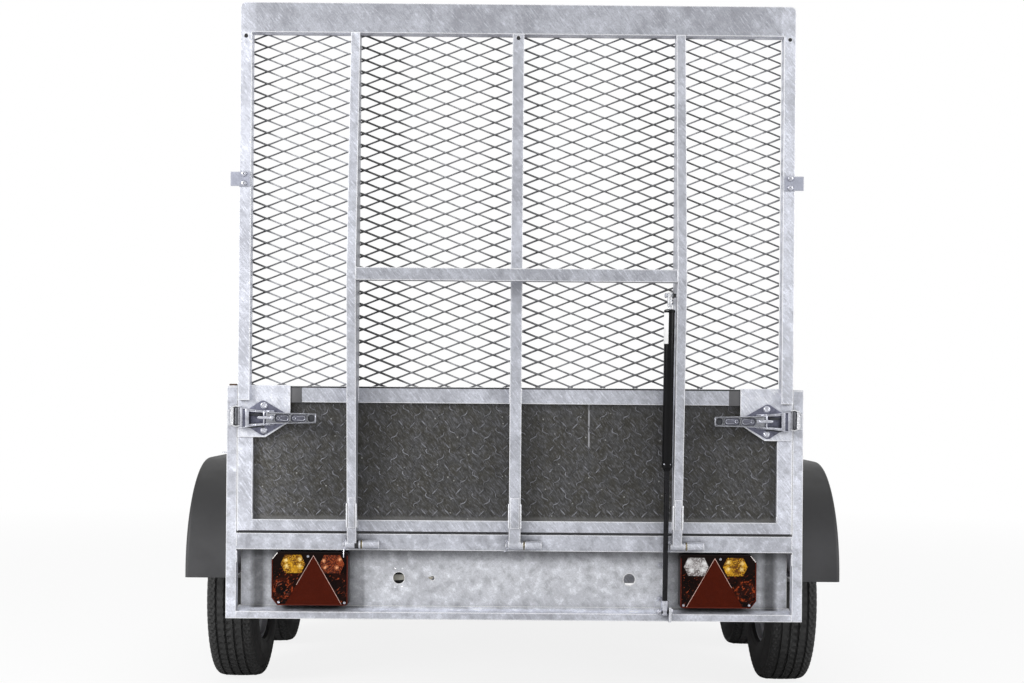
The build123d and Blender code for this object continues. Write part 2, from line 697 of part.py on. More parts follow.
with BuildPart() as lamp_bodies:
    with BuildSketch(across(PANEL_Y - SHEET)):
        with BuildLine():
            Polyline(
                (LAMP_INNER, LAMP_LOW + LAMP_CORNER),
                (LAMP_INNER, LAMP_TOP - LAMP_CORNER),
                (LAMP_INNER + LAMP_CORNER, LAMP_TOP),
                (LAMP_OUTER - LAMP_CHAMFER_X, LAMP_TOP),
                (LAMP_OUTER, LAMP_TOP - LAMP_CHAMFER_Z),
                (LAMP_OUTER, LAMP_LOW + LAMP_CHAMFER_Z),
                (LAMP_OUTER - LAMP_CHAMFER_X, LAMP_LOW),
                (LAMP_INNER + LAMP_CORNER, LAMP_LOW),
                close=True,
            )
        make_face()
    extrude(amount=LAMP_D)
    mirror(about=Plane.YZ)
save(lamp_bodies, "lamp_bodies")

with BuildPart() as lamp_triangles:
    with BuildSketch(across(LAMP_FACE)):
        with BuildLine():
            Polyline(
                (TRIANGLE_X - TRIANGLE_SIDE / 2, LAMP_LOW + TRIANGLE_LIFT),
                (TRIANGLE_X + TRIANGLE_SIDE / 2, LAMP_LOW + TRIANGLE_LIFT),
                (TRIANGLE_X, LAMP_LOW + TRIANGLE_LIFT + TRIANGLE_SIDE * cos(radians(30))),
                close=True,
            )
        make_face()
    extrude(amount=TRIANGLE_T)
    mirror(about=Plane.YZ)
save(lamp_triangles, "lamp_triangles")


def hex_lens(middle):
    """Outline of a long hexagonal lens window about its middle x."""
    z = LAMP_TOP - LENS_DROP
    with BuildSketch(Plane.XY, mode=Mode.PRIVATE) as outline:
        with BuildLine():
            Polyline(
                (middle - LENS_W / 2, z),
                (middle - LENS_W / 2 + LENS_NOSE, z + LENS_H / 2),
                (middle + LENS_W / 2 - LENS_NOSE, z + LENS_H / 2),
                (middle + LENS_W / 2, z),
                (middle + LENS_W / 2 - LENS_NOSE, z - LENS_H / 2),
                (middle - LENS_W / 2 + LENS_NOSE, z - LENS_H / 2),
                close=True,
            )
        make_face()
    return outline.sketch


with BuildPart() as amber_lenses:
    with BuildSketch(across(LAMP_FACE)):
        add(hex_lens(LENS_OUTER_X))
        add(hex_lens(-LENS_OUTER_X))
    extrude(amount=LENS_T)
save(amber_lenses, "amber_lenses")

with BuildPart() as fog_lens:
    with BuildSketch(across(LAMP_FACE)):
        add(hex_lens(-LENS_INNER_X))
    extrude(amount=LENS_T)
save(fog_lens, "fog_lens")

with BuildPart() as reverse_lens:
    with BuildSketch(across(LAMP_FACE)):
        add(hex_lens(LENS_INNER_X))
    extrude(amount=LENS_T)
save(reverse_lens, "reverse_lens")

# ---------------------------------------------------------------- ramp hinges
KNUCKLE_LOW = KNUCKLE_SHIFT - KNUCKLE_L / 2          # moving knuckle, from its rib's middle
KNUCKLE_HIGH = KNUCKLE_SHIFT + KNUCKLE_L / 2
FIXED_LOW = KNUCKLE_HIGH + KNUCKLE_GAP
FIXED_HIGH = FIXED_LOW + FIXED_KNUCKLE_L


def barrel(x, radius, mode=Mode.ADD):
    """Round bar or bore on the hinge axis between two x limits, in the open part."""
    with Locations((sum(x) / 2, HINGE_AXIS_Y, HINGE_Z)):
        Cylinder(radius, x[1] - x[0], rotation=(0, 90, 0), mode=mode)


with BuildPart() as fixed_hinges:
    for rib_x in RIB_COLUMNS:
        low, high = rib_x + FIXED_LOW, rib_x + FIXED_HIGH
        barrel((low, high), HINGE_R)
        block((low, high), (HINGE_AXIS_Y, REAR), (HINGE_Z - HINGE_R / 2, HINGE_Z + HINGE_R / 2))
        barrel((rib_x + KNUCKLE_LOW - PIN_TAIL, low), HINGE_PIN_R)
        barrel((rib_x + KNUCKLE_HIGH + WASHER_GAP, low - WASHER_GAP), HINGE_R - WASHER_GAP)
save(fixed_hinges, "fixed_hinges")

# ---------------------------------------------------------------- ramp frames
LOWER_FACE = REAR
UPPER_FACE = REAR - UPPER_PROUD
UPPER_BACK = UPPER_FACE + UPPER_TUBE_D

with BuildPart() as ramp_lower_frame:
    with BuildSketch(across(REAR + RAMP_TUBE_D)):
        with Locations((0, (RAMP_LOW + LOWER_TOP) / 2)):
            Rectangle(2 * RAMP_HALF, LOWER_TOP - RAMP_LOW)
        with Locations((0, (RAMP_LOW + BOTTOM_RAIL_H + LOWER_TOP - CROSS_RAIL_H) / 2)):
            Rectangle(
                2 * (RAMP_HALF - RAMP_TUBE_W),
                LOWER_TOP - CROSS_RAIL_H - RAMP_LOW - BOTTOM_RAIL_H,
                mode=Mode.SUBTRACT,
            )
    extrude(amount=RAMP_TUBE_D)
save(ramp_lower_frame, "ramp_lower_frame")

with BuildPart() as tread_plate:
    block(
        (-RAMP_HALF + RAMP_TUBE_W, RAMP_HALF - RAMP_TUBE_W),
        (REAR + TREAD_Y, REAR + TREAD_Y + SHEET),
        (RAMP_LOW + BOTTOM_RAIL_H, LOWER_TOP - CROSS_RAIL_H),
    )
save(tread_plate, "tread_plate")

with BuildPart() as ramp_upper_frame:
    # side tubes standing on the lower frame, their tongues lapping the gussets
    inner_half = UPPER_HALF - UPPER_TUBE_W
    block((inner_half, UPPER_HALF), (UPPER_FACE, UPPER_BACK), (LOWER_TOP, LIP_LOW))
    block((inner_half, UPPER_HALF), (UPPER_FACE, REAR - GUSSET_T), (LOWER_TOP - UPPER_LAP, LOWER_TOP))
    with Locations((UPPER_HALF - UPPER_TUBE_W / 2, REAR - GUSSET_T / 2, GUSSET_TOP)):
        Box(
            UPPER_TUBE_W,
            GUSSET_T,
            2 * (GUSSET_TOP - LOWER_TOP),
            align=(Align.CENTER, Align.CENTER, Align.MAX),
            mode=Mode.SUBTRACT,
        )
    mirror(about=Plane.YZ)
    # top tube and the lip plate on its face
    block(
        (-UPPER_HALF, UPPER_HALF),
        (UPPER_FACE + LIP_T, UPPER_BACK),
        (LIP_LOW, LIP_LOW + UPPER_TUBE_D),
    )
    with BuildSketch(across(UPPER_FACE + LIP_T)):
        with Locations((0, (LIP_LOW + RAMP_TOP) / 2)):
            lip = Rectangle(2 * UPPER_HALF, RAMP_TOP - LIP_LOW)
        fillet(lip.vertices().group_by(Axis.Y)[-1], LIP_CORNER)
    extrude(amount=LIP_T)
    with BuildSketch(across(UPPER_FACE)):
        with GridLocations(2 * (UPPER_HALF - UPPER_TUBE_W / 2), 0, 2, 1):
            with Locations((0, LIP_LOW - DRAIN_DROP)):
                Circle(DRAIN_R)
    extrude(amount=-SHEET, mode=Mode.SUBTRACT)
save(ramp_upper_frame, "ramp_upper_frame")

# ---------------------------------------------------------------- ramp ribs
def rib_outline(low, knee, top):
    """Side outline of a rib from its three front depths, closed along its stepped back."""
    with BuildSketch(Plane.XY, mode=Mode.PRIVATE) as outline:
        with BuildLine():
            Polyline(
                (REAR, RIB_FOOT_Z),
                (REAR - FOOT_CLEAR, RIB_FOOT_Z),
                (REAR - FOOT_CLEAR, HINGE_Z),
                (HINGE_AXIS_Y - HINGE_R + SHEET / 2, HINGE_Z),
                (REAR + low, RIB_FOOT_Z),
                (REAR + knee, RIB_KNEE_Z),
                (REAR + top, LIP_LOW),
                (REAR + RIB_BACK, LIP_LOW),
                (REAR + RIB_BACK, GUSSET_TOP),
                (REAR, GUSSET_TOP),
                close=True,
            )
        make_face()
    return outline.sketch


with BuildPart() as outer_ribs:
    for rib_x in (-RIB_X, RIB_X):
        with BuildSketch(side(rib_x - RIB_W / 2)):
            add(rib_outline(RIB_FRONT_LOW, RIB_FRONT_MID, RIB_FRONT_TOP))
        extrude(amount=RIB_W)
        # channel hollow, open towards the mesh
        with BuildSketch(side(rib_x - RIB_W / 2 + SHEET)):
            with BuildLine():
                Polyline(
                    (REAR + RIB_FRONT_LOW + SHEET, RIB_FOOT_Z + BOTTOM_RAIL_H),
                    (REAR + RIB_FRONT_MID + SHEET, RIB_KNEE_Z),
                    (REAR + RIB_FRONT_TOP + SHEET, LIP_LOW - SHEET),
                    (REAR + RIB_BACK, LIP_LOW - SHEET),
                    (REAR + RIB_BACK, RIB_FOOT_Z + BOTTOM_RAIL_H),
                    close=True,
                )
            make_face()
        extrude(amount=RIB_W - 2 * SHEET, mode=Mode.SUBTRACT)
        knuckle = (rib_x + KNUCKLE_LOW, rib_x + KNUCKLE_HIGH)
        barrel(knuckle, HINGE_R)
        barrel(knuckle, HINGE_PIN_R + RUN_FIT, Mode.SUBTRACT)
    # stud for the strut's upper eye
    with BuildSketch(side(RIB_X - RIB_W / 2)):
        with Locations((REAR + STRUT_TOP_Y, STRUT_TOP_Z)):
            Circle(STRUT_PIN_R)
    extrude(amount=-(RIB_X - RIB_W / 2 - STRUT_X + STRUT_EYE_W / 2 + SHEET))
save(outer_ribs, "outer_ribs")

with BuildPart() as centre_rib:
    with BuildSketch(side(-CENTRE_RIB_W / 2)):
        add(rib_outline(CENTRE_RIB_FRONT, CENTRE_RIB_FRONT, CENTRE_RIB_FRONT))
    extrude(amount=CENTRE_RIB_W)
    barrel((KNUCKLE_LOW, KNUCKLE_HIGH), HINGE_R)
    barrel((KNUCKLE_LOW, KNUCKLE_HIGH), HINGE_PIN_R + RUN_FIT, Mode.SUBTRACT)
    with BuildSketch(across(REAR + CENTRE_RIB_FRONT)):
        with Locations((0, LIP_LOW - DRAIN_DROP)):
            Circle(DRAIN_R)
    extrude(amount=-SHEET, mode=Mode.SUBTRACT)
save(centre_rib, "centre_rib")

with BuildPart() as ramp_brace:
    brace_half = RIB_X - RIB_W / 2
    brace_face = REAR + RIB_FRONT_MID + SHEET
    with BuildSketch(side(-brace_half)):
        with Locations((brace_face + BRACE_H / 2, RIB_KNEE_Z)):
            Rectangle(BRACE_H, BRACE_H)
            Rectangle(BRACE_H - 2 * SHEET, BRACE_H - 2 * SHEET, mode=Mode.SUBTRACT)
    extrude(amount=2 * brace_half)
save(ramp_brace, "ramp_brace")

# ---------------------------------------------------------------- expanded mesh
mesh_half = UPPER_HALF - UPPER_TUBE_W
mesh_height = LIP_LOW - LOWER_TOP
mesh_middle = (LIP_LOW + LOWER_TOP) / 2
slope = degrees(atan2(MESH_SHORT, MESH_LONG))
strand_l = hypot(2 * mesh_half, mesh_height)
strand_count = int((mesh_height + 2 * mesh_half * MESH_SHORT / MESH_LONG) / MESH_SHORT) + 1
with BuildPart() as ramp_mesh:
    # two crossing sets of strands, the second lying just behind the first
    for layer, tilt in ((0, slope), (1, -slope)):
        back = REAR + RIB_BACK + STRAND_T + layer * (STRAND_T + SEAT_GAP)
        with BuildSketch(across(back)):
            with Locations((0, mesh_middle)):
                with GridLocations(0, MESH_SHORT, 1, strand_count):
                    Rectangle(2 * strand_l, STRAND_W, rotation=tilt)
                Rectangle(2 * mesh_half, mesh_height, mode=Mode.INTERSECT)
                with GridLocations(2 * mesh_half - MESH_RIM, 0, 2, 1):
                    Rectangle(MESH_RIM, mesh_height)
                with GridLocations(0, mesh_height - MESH_RIM, 1, 2):
                    Rectangle(2 * mesh_half, MESH_RIM)
        extrude(amount=STRAND_T)
save(ramp_mesh, "ramp_mesh")

# ---------------------------------------------------------------- ramp fittings
GUSSET_FACE = REAR - GUSSET_T
with BuildPart() as gussets:
    with BuildSketch(across(REAR)):
        with BuildLine():
            Polyline(
                (RAMP_HALF, GUSSET_LOW),
                (RAMP_HALF, GUSSET_TOP),
                (RAMP_HALF - GUSSET_W, GUSSET_TOP),
                (RAMP_HALF - GUSSET_W, GUSSET_LOW + GUSSET_CUT_Z),
                (RAMP_HALF - GUSSET_W + GUSSET_CUT_X, GUSSET_LOW),
                close=True,
            )
        make_face()
    extrude(amount=GUSSET_T)
    mirror(about=Plane.YZ)
save(gussets, "gussets")

with BuildPart() as ramp_lugs:
    block(
        (BODY_HALF - LUG_W - SHEET * 3, BODY_HALF - SHEET * 3),
        (UPPER_FACE - LUG_T, UPPER_FACE),
        (LUG_Z - LUG_H / 2, LUG_Z + LUG_H / 2),
    )
    mirror(about=Plane.YZ)
save(ramp_lugs, "ramp_lugs")

LATCH_FACE = GUSSET_FACE - LATCH_PLATE_T
with BuildPart() as latches:
    # long diamond base plates with blunt corners
    with BuildSketch(across(GUSSET_FACE)):
        with BuildLine():
            Polyline(
                (LATCH_X - LATCH_PLATE_W / 2, LATCH_Z + LATCH_BODY_H / 4),
                (LATCH_X - LATCH_BODY_W / 2, LATCH_Z + LATCH_PLATE_H / 2),
                (LATCH_X + LATCH_BODY_W / 2, LATCH_Z + LATCH_PLATE_H / 2),
                (LATCH_X + LATCH_PLATE_W / 2, LATCH_Z + LATCH_BODY_H / 4),
                (LATCH_X + LATCH_PLATE_W / 2, LATCH_Z - LATCH_BODY_H / 4),
                (LATCH_X + LATCH_BODY_W / 2, LATCH_Z - LATCH_PLATE_H / 2),
                (LATCH_X - LATCH_BODY_W / 2, LATCH_Z - LATCH_PLATE_H / 2),
                (LATCH_X - LATCH_PLATE_W / 2, LATCH_Z - LATCH_BODY_H / 4),
                close=True,
            )
        make_face()
    extrude(amount=LATCH_PLATE_T)
    # pivot body on the plate and the flat handle lying inward
    block(
        (LATCH_X - LATCH_BODY_W / 2, LATCH_X + LATCH_BODY_W / 2),
        (LATCH_FACE - LATCH_BODY_D, LATCH_FACE),
        (LATCH_Z - LATCH_BODY_H / 2, LATCH_Z + LATCH_BODY_H / 2),
    )
    with BuildSketch(across(LATCH_FACE - LATCH_BODY_D)):
        with Locations(((LEVER_TIP_X + LATCH_X + LATCH_BODY_W / 2) / 2, LATCH_Z)):
            SlotOverall(LATCH_X + LATCH_BODY_W / 2 - LEVER_TIP_X, LEVER_W)
    extrude(amount=LEVER_T)
    # U-shaped claws from the pivot bodies round the keepers on the posts
    claw_out = BODY_HALF - SEAT_GAP
    with BuildSketch(across(LATCH_FACE - LATCH_BODY_D / 4)):
        with Locations(((LATCH_X + claw_out) / 2, LATCH_Z)):
            Rectangle(claw_out - LATCH_X, LATCH_BODY_H + 2 * CLAW_ARM)
        with Locations(((LATCH_X + claw_out) / 2 - CLAW_T, LATCH_Z)):
            Rectangle(claw_out - LATCH_X, LATCH_BODY_H, mode=Mode.SUBTRACT)
    extrude(amount=CLAW_T)
    mirror(about=Plane.YZ)
save(latches, "latches")

KEEPER_OUT = BODY_HALF - SEAT_GAP - CLAW_T - KEEPER_CLEAR

with BuildPart() as keepers:
    block((POST_INNER + SHEET, BODY_HALF - SHEET), (REAR - SHEET, REAR),
          (LATCH_Z - LATCH_BODY_H / 2, LATCH_Z + LATCH_BODY_H / 2))
    block((KEEPER_OUT - KEEPER_W, KEEPER_OUT), (REAR - KEEPER_D, REAR - SHEET),
          (LATCH_Z - KEEPER_H / 2, LATCH_Z + KEEPER_H / 2))
    mirror(about=Plane.YZ)
save(keepers, "keepers")

# ---------------------------------------------------------------- gas strut
strut_dy = STRUT_FOOT_Y - STRUT_TOP_Y
strut_dz = STRUT_FOOT_Z - STRUT_TOP_Z
strut_length = hypot(strut_dy, strut_dz)
strut_top = (STRUT_X, REAR + STRUT_TOP_Y, STRUT_TOP_Z)
strut_foot = (STRUT_X, REAR + STRUT_FOOT_Y, STRUT_FOOT_Z)
strut_dir = Vector(0, strut_dy, strut_dz).normalized()


def along_strut(distance):
    """Plane square to the strut, a distance down from its upper pin."""
    return Plane(origin=Vector(*strut_top) + strut_dir * distance, x_dir=(1, 0, 0), z_dir=strut_dir)


with BuildPart() as strut_cylinder:
    with BuildSketch(along_strut(STRUT_HEAD)):
        Circle(STRUT_R)
    extrude(amount=STRUT_SLEEVE)
    with BuildSketch(along_strut(0)):
        Circle(STRUT_ROD_R)
    extrude(amount=STRUT_HEAD)
    with BuildSketch(side(STRUT_X - STRUT_EYE_W / 2)):
        with Locations(strut_top[1:]):
            Circle(STRUT_EYE_R)
    extrude(amount=STRUT_EYE_W)
    with BuildSketch(side(STRUT_X - STRUT_EYE_W)):
        with Locations(strut_top[1:]):
            Circle(STRUT_PIN_R + RUN_FIT)
    extrude(amount=2 * STRUT_EYE_W, mode=Mode.SUBTRACT)
    with BuildSketch(along_strut(STRUT_HEAD + STRUT_R)):
        Circle(STRUT_ROD_R + RUN_FIT)
    extrude(amount=STRUT_SLEEVE - STRUT_R, mode=Mode.SUBTRACT)
save(strut_cylinder, "strut_cylinder")

with BuildPart() as strut_rod:
    rod_start = STRUT_HEAD + STRUT_SLEEVE - STRUT_ENGAGED
    with BuildSketch(along_strut(rod_start)):
        Circle(STRUT_ROD_R)
    extrude(amount=strut_length - rod_start)
    with BuildSketch(side(STRUT_X - STRUT_EYE_W / 2)):
        with Locations(strut_foot[1:]):
            Circle(STRUT_FOOT_EYE_R)
    extrude(amount=STRUT_EYE_W)
    with BuildSketch(side(STRUT_X)):
        with Locations(strut_foot[1:]):
            Circle(STRUT_PIN_R)
    extrude(amount=STRUT_EYE_W / 2 + SHEET)
save(strut_rod, "strut_rod")

with BuildPart() as strut_bracket:
    bracket_x = STRUT_X + STRUT_EYE_W / 2 + SHEET + SEAT_GAP
    block(
        (bracket_x, bracket_x + BRACKET_T),
        (REAR + STRUT_FOOT_Y - STRUT_EYE_R, REAR),
        (FRAME_BOTTOM, STRUT_FOOT_Z + STRUT_EYE_R),
    )
save(strut_bracket, "strut_bracket")

# ---------------------------------------------------------------- drawbar
leg_rear = (POST_X - LEG_W / 2, REAR + LEG_REAR_Y)
leg_front = (LEG_FRONT_X, REAR + LEG_FRONT_Y)
leg_turn = degrees(atan2(leg_rear[0] - leg_front[0], leg_front[1] - leg_rear[1]))
for hand, sign in SIDES:
    with BuildPart() as drawbar_leg:
        # box-section leg from under the bed to the coupling
        run = Vector(sign * (leg_front[0] - leg_rear[0]), leg_front[1] - leg_rear[1], 0)
        start = Plane(
            origin=(sign * leg_rear[0], leg_rear[1], LEG_AXIS_Z),
            x_dir=run.cross(Vector(0, 0, 1)).normalized(),
            z_dir=run.normalized(),
        )
        with BuildSketch(start):
            Rectangle(LEG_W, LEG_H)
            Rectangle(LEG_W - 2 * RIM_THICK, LEG_H - 2 * RIM_THICK, mode=Mode.SUBTRACT)
        extrude(amount=run.length)
    save(drawbar_leg, f"drawbar_leg_{hand}")



def leg_face(y):
    """X of the right leg's outer face at row y."""
    share = (leg_front[1] - y) / (leg_front[1] - leg_rear[1])
    return leg_front[0] + share * (leg_rear[0] - leg_front[0]) + LEG_W / 2 / cos(radians(leg_turn))


HITCH_REAR = REAR + LEG_FRONT_Y - HITCH_L
SHAFT_Z = LEG_AXIS_Z
with BuildPart() as overrun_unit:
    # housing between the legs, hung from a flange plate on top of them
    with BuildSketch(across(REAR + LEG_FRONT_Y)):
        with Locations((0, LEG_AXIS_Z + LEG_H / 2 - HITCH_H / 2)):
            RectangleRounded(HITCH_W, HITCH_H, HITCH_FLANGE)
    extrude(amount=HOUSING_L)
    with BuildSketch(Plane.XY.offset(RAIL_LOW)):
        with Locations((0, REAR + LEG_FRONT_Y - HITCH_L / 2)):
            Rectangle(2 * HITCH_FLANGE_HALF, HITCH_L)
    extrude(amount=HITCH_FLANGE)
save(overrun_unit, "overrun_unit")

HEAD_REAR = NOSE - HEAD_L
BALL_Y = NOSE - BALL_BACK
with BuildPart() as coupling_shaft:
    with BuildSketch(across(REAR + LEG_FRONT_Y)):
        with Locations((0, SHAFT_Z)):
            Circle(SHAFT_R)
    extrude(amount=-(HEAD_REAR - REAR - LEG_FRONT_Y))
save(coupling_shaft, "coupling_shaft")

with BuildPart() as gaiter:
    # bellows round the shaft in front of the housing
    fold = GAITER_L / GAITER_FOLDS
    with BuildSketch(side(0)):
        with BuildLine():
            base = REAR + LEG_FRONT_Y
            points = [(base, SHAFT_Z + SHAFT_R + SEAT_GAP), (base, SHAFT_Z + GAITER_R - fold / 2)]
            for turn in range(GAITER_FOLDS):
                points.append((base + fold * (turn + 0.5), SHAFT_Z + GAITER_R))
                points.append((base + fold * (turn + 1), SHAFT_Z + GAITER_R - fold / 2))
            points.append((base + GAITER_L, SHAFT_Z + SHAFT_R + SEAT_GAP))
            Polyline(*points, close=True)
        make_face()
    revolve(axis=Axis((0, 0, SHAFT_Z), (0, 1, 0)))
save(gaiter, "gaiter")

with BuildPart() as coupling_head:
    # pressed ball housing with a tapered neck and the release handle above
    with BuildSketch(Plane.XY.offset(SHAFT_Z - SHAFT_R)):
        with BuildLine():
            Polyline(
                (-SHAFT_R - RIM_THICK, HEAD_REAR),
                (SHAFT_R + RIM_THICK, HEAD_REAR),
                (HEAD_HALF, BALL_Y),
            )
            ThreePointArc((HEAD_HALF, BALL_Y), (0, NOSE), (-HEAD_HALF, BALL_Y))
            Line((-HEAD_HALF, BALL_Y), (-SHAFT_R - RIM_THICK, HEAD_REAR))
        make_face()
    extrude(amount=2 * SHAFT_R + RIM_THICK)
    # ball socket, open below
    with Locations((0, BALL_Y, SHAFT_Z)):
        Sphere(BALL_R + BALL_CLEAR, mode=Mode.SUBTRACT)
    with BuildSketch(Plane.XY.offset(SHAFT_Z)):
        with Locations((0, BALL_Y)):
            Circle(BALL_R + BALL_CLEAR)
    extrude(amount=-2 * SHAFT_R, mode=Mode.SUBTRACT)
    with BuildSketch(side(-HEAD_HANDLE_W / 2)):
        with BuildLine():
            top = SHAFT_Z + SHAFT_R + RIM_THICK
            Polyline(
                (HEAD_REAR + HEAD_HANDLE_T, top),
                (HEAD_REAR + HEAD_HANDLE_T, top + HEAD_HANDLE_T),
                (HEAD_REAR + HEAD_HANDLE_FOOT, top + HEAD_HANDLE_H),
                (NOSE - HEAD_HANDLE_END, top + HEAD_HANDLE_H),
                (NOSE - HEAD_HANDLE_END, top + HEAD_HANDLE_H - HEAD_HANDLE_T),
                (HEAD_REAR + HEAD_HANDLE_FOOT, top + HEAD_HANDLE_H - HEAD_HANDLE_T),
                (HEAD_REAR + HEAD_HANDLE_FOOT, top),
                close=True,
            )
        make_face()
    extrude(amount=HEAD_HANDLE_W)
save(coupling_head, "coupling_head")

with BuildPart() as brake_lever:
    # handbrake lever pulled up beside the housing
    lever_x = -HITCH_FLANGE_HALF + BRAKE_LEVER_T
    lever_y = REAR + LEG_FRONT_Y - BRAKE_LEVER_BACK
    with BuildSketch(side(lever_x - BRAKE_LEVER_T)):
        with Locations((lever_y, RAIL_LOW + HITCH_FLANGE + BRAKE_LEVER_W / 2)):
            Circle(BRAKE_LEVER_W / 2)
        with Locations((lever_y - BRAKE_LEVER_LEAN, RAIL_LOW + BRAKE_LEVER_L)):
            Circle(BRAKE_LEVER_TIP_R)
        make_hull()
    extrude(amount=BRAKE_LEVER_T)
save(brake_lever, "brake_lever")

# ---------------------------------------------------------------- jockey wheel
jockey_y = REAR + JOCKEY_Y
jockey_z = JOCKEY_WHEEL_R
JOCKEY_X = leg_face(jockey_y - JOCKEY_TUBE_R - CLAMP_T) + JOCKEY_OUT + CLAMP_T + JOCKEY_TUBE_R
axle_jy = jockey_y - JOCKEY_TRAIL
with BuildPart() as jockey_tube:
    with BuildSketch(Plane.XY.offset(JOCKEY_TUBE_LOW)):
        with Locations((JOCKEY_X, jockey_y)):
            Circle(JOCKEY_TUBE_R)
            Circle(JOCKEY_LEG_R + RUN_FIT, mode=Mode.SUBTRACT)
    extrude(amount=JOCKEY_TUBE_TOP - JOCKEY_TUBE_LOW)
    with BuildSketch(Plane.XY.offset(JOCKEY_TUBE_TOP)):
        with Locations((JOCKEY_X, jockey_y)):
            Circle(JOCKEY_TUBE_R)
    extrude(amount=SHEET)
    # winding handle
    with BuildSketch(Plane.XY.offset(JOCKEY_TUBE_TOP + SHEET)):
        with Locations((JOCKEY_X, jockey_y)):
            Circle(JOCKEY_AXLE_R)
    extrude(amount=HANDLE_RISE)
    block(
        (JOCKEY_X - JOCKEY_AXLE_R, JOCKEY_X + JOCKEY_AXLE_R),
        (jockey_y - HANDLE_ARM, jockey_y + JOCKEY_AXLE_R),
        (JOCKEY_TUBE_TOP + SHEET + HANDLE_RISE, JOCKEY_TUBE_TOP + 2 * SHEET + HANDLE_RISE),
    )
    with BuildSketch(Plane.XY.offset(JOCKEY_TUBE_TOP + 2 * SHEET + HANDLE_RISE)):
        with Locations((JOCKEY_X, jockey_y - HANDLE_ARM + JOCKEY_AXLE_R)):
            Circle(JOCKEY_AXLE_R)
    extrude(amount=2 * HANDLE_RISE)
save(jockey_tube, "jockey_tube")

with BuildPart() as jockey_clamp:
    # split clamp on an arm bolted to the right leg
    clamp_z = LEG_AXIS_Z
    with BuildSketch(Plane.XY.offset(clamp_z - CLAMP_H / 2)):
        with Locations((JOCKEY_X, jockey_y)):
            Circle(JOCKEY_TUBE_R + CLAMP_T)
        with BuildLine():
            Polyline(
                (leg_face(jockey_y - CLAMP_W / 2) + SEAT_GAP, jockey_y - CLAMP_W / 2),
                (leg_face(jockey_y + CLAMP_W / 2) + SEAT_GAP, jockey_y + CLAMP_W / 2),
                (JOCKEY_X, jockey_y + CLAMP_W / 2),
                (JOCKEY_X, jockey_y - CLAMP_W / 2),
                close=True,
            )
        make_face()
        with Locations((JOCKEY_X, jockey_y)):
            Circle(JOCKEY_TUBE_R + SEAT_GAP, mode=Mode.SUBTRACT)
    extrude(amount=CLAMP_H)
save(jockey_clamp, "jockey_clamp")

with BuildPart() as jockey_leg:
    # inner tube sliding in the outer one, bored for the fork's pin
    with BuildSketch(Plane.XY.offset(JOCKEY_CROWN_Z + SEAT_GAP)):
        with Locations((JOCKEY_X, jockey_y)):
            Circle(JOCKEY_LEG_R)
            Circle(FORK_PIN_R + RUN_FIT, mode=Mode.SUBTRACT)
    extrude(amount=JOCKEY_TUBE_LOW + JOCKEY_ENGAGED - JOCKEY_CROWN_Z)
save(jockey_leg, "jockey_leg")

with BuildPart() as jockey_fork:
    fork_half = JOCKEY_WHEEL_W / 2 + FORK_GAP
    with BuildSketch(side(JOCKEY_X - fork_half - FORK_T)):
        with Locations((axle_jy, jockey_z)):
            Circle(JOCKEY_LEG_R)
        with Locations((jockey_y, JOCKEY_CROWN_Z - FORK_T / 2)):
            Rectangle(2 * JOCKEY_LEG_R, FORK_T)
        make_hull()
    extrude(amount=2 * (fork_half + FORK_T))
    with Locations((JOCKEY_X, jockey_y, (JOCKEY_CROWN_Z - FORK_T) / 2)):
        Box(
            2 * fork_half,
            2 * JOCKEY_WHEEL_R,
            JOCKEY_CROWN_Z - FORK_T,
            mode=Mode.SUBTRACT,
        )
    with BuildSketch(Plane.XY.offset(JOCKEY_CROWN_Z)):
        with Locations((JOCKEY_X, jockey_y)):
            Circle(FORK_PIN_R)
    extrude(amount=FORK_PIN_L)
    # wheel axle between the cheeks
    with BuildSketch(side(JOCKEY_X - fork_half)):
        with Locations((axle_jy, jockey_z)):
            Circle(JOCKEY_AXLE_R)
    extrude(amount=2 * fork_half)
save(jockey_fork, "jockey_fork")

with BuildPart() as jockey_wheel:
    with BuildSketch(side(JOCKEY_X)):
        with Locations((axle_jy, jockey_z)):
            Circle(JOCKEY_WHEEL_R)
            Circle(JOCKEY_AXLE_R + RUN_FIT, mode=Mode.SUBTRACT)
    extrude(amount=JOCKEY_WHEEL_W / 2, both=True)
    rims = jockey_wheel.edges().filter_by(GeomType.CIRCLE).group_by(SortBy.RADIUS)[-1]
    chamfer(rims, JOCKEY_ROUND)
save(jockey_wheel, "jockey_wheel")

print("length", round(NOSE - REAR - RIB_FRONT_MID, 1), "rear face at", REAR)
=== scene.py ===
"""Looks of a tandem-axle goods trailer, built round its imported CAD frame. Metres, +Y forward."""

import json
import math
import random

import bmesh
import bpy
from mathutils import Matrix, Vector

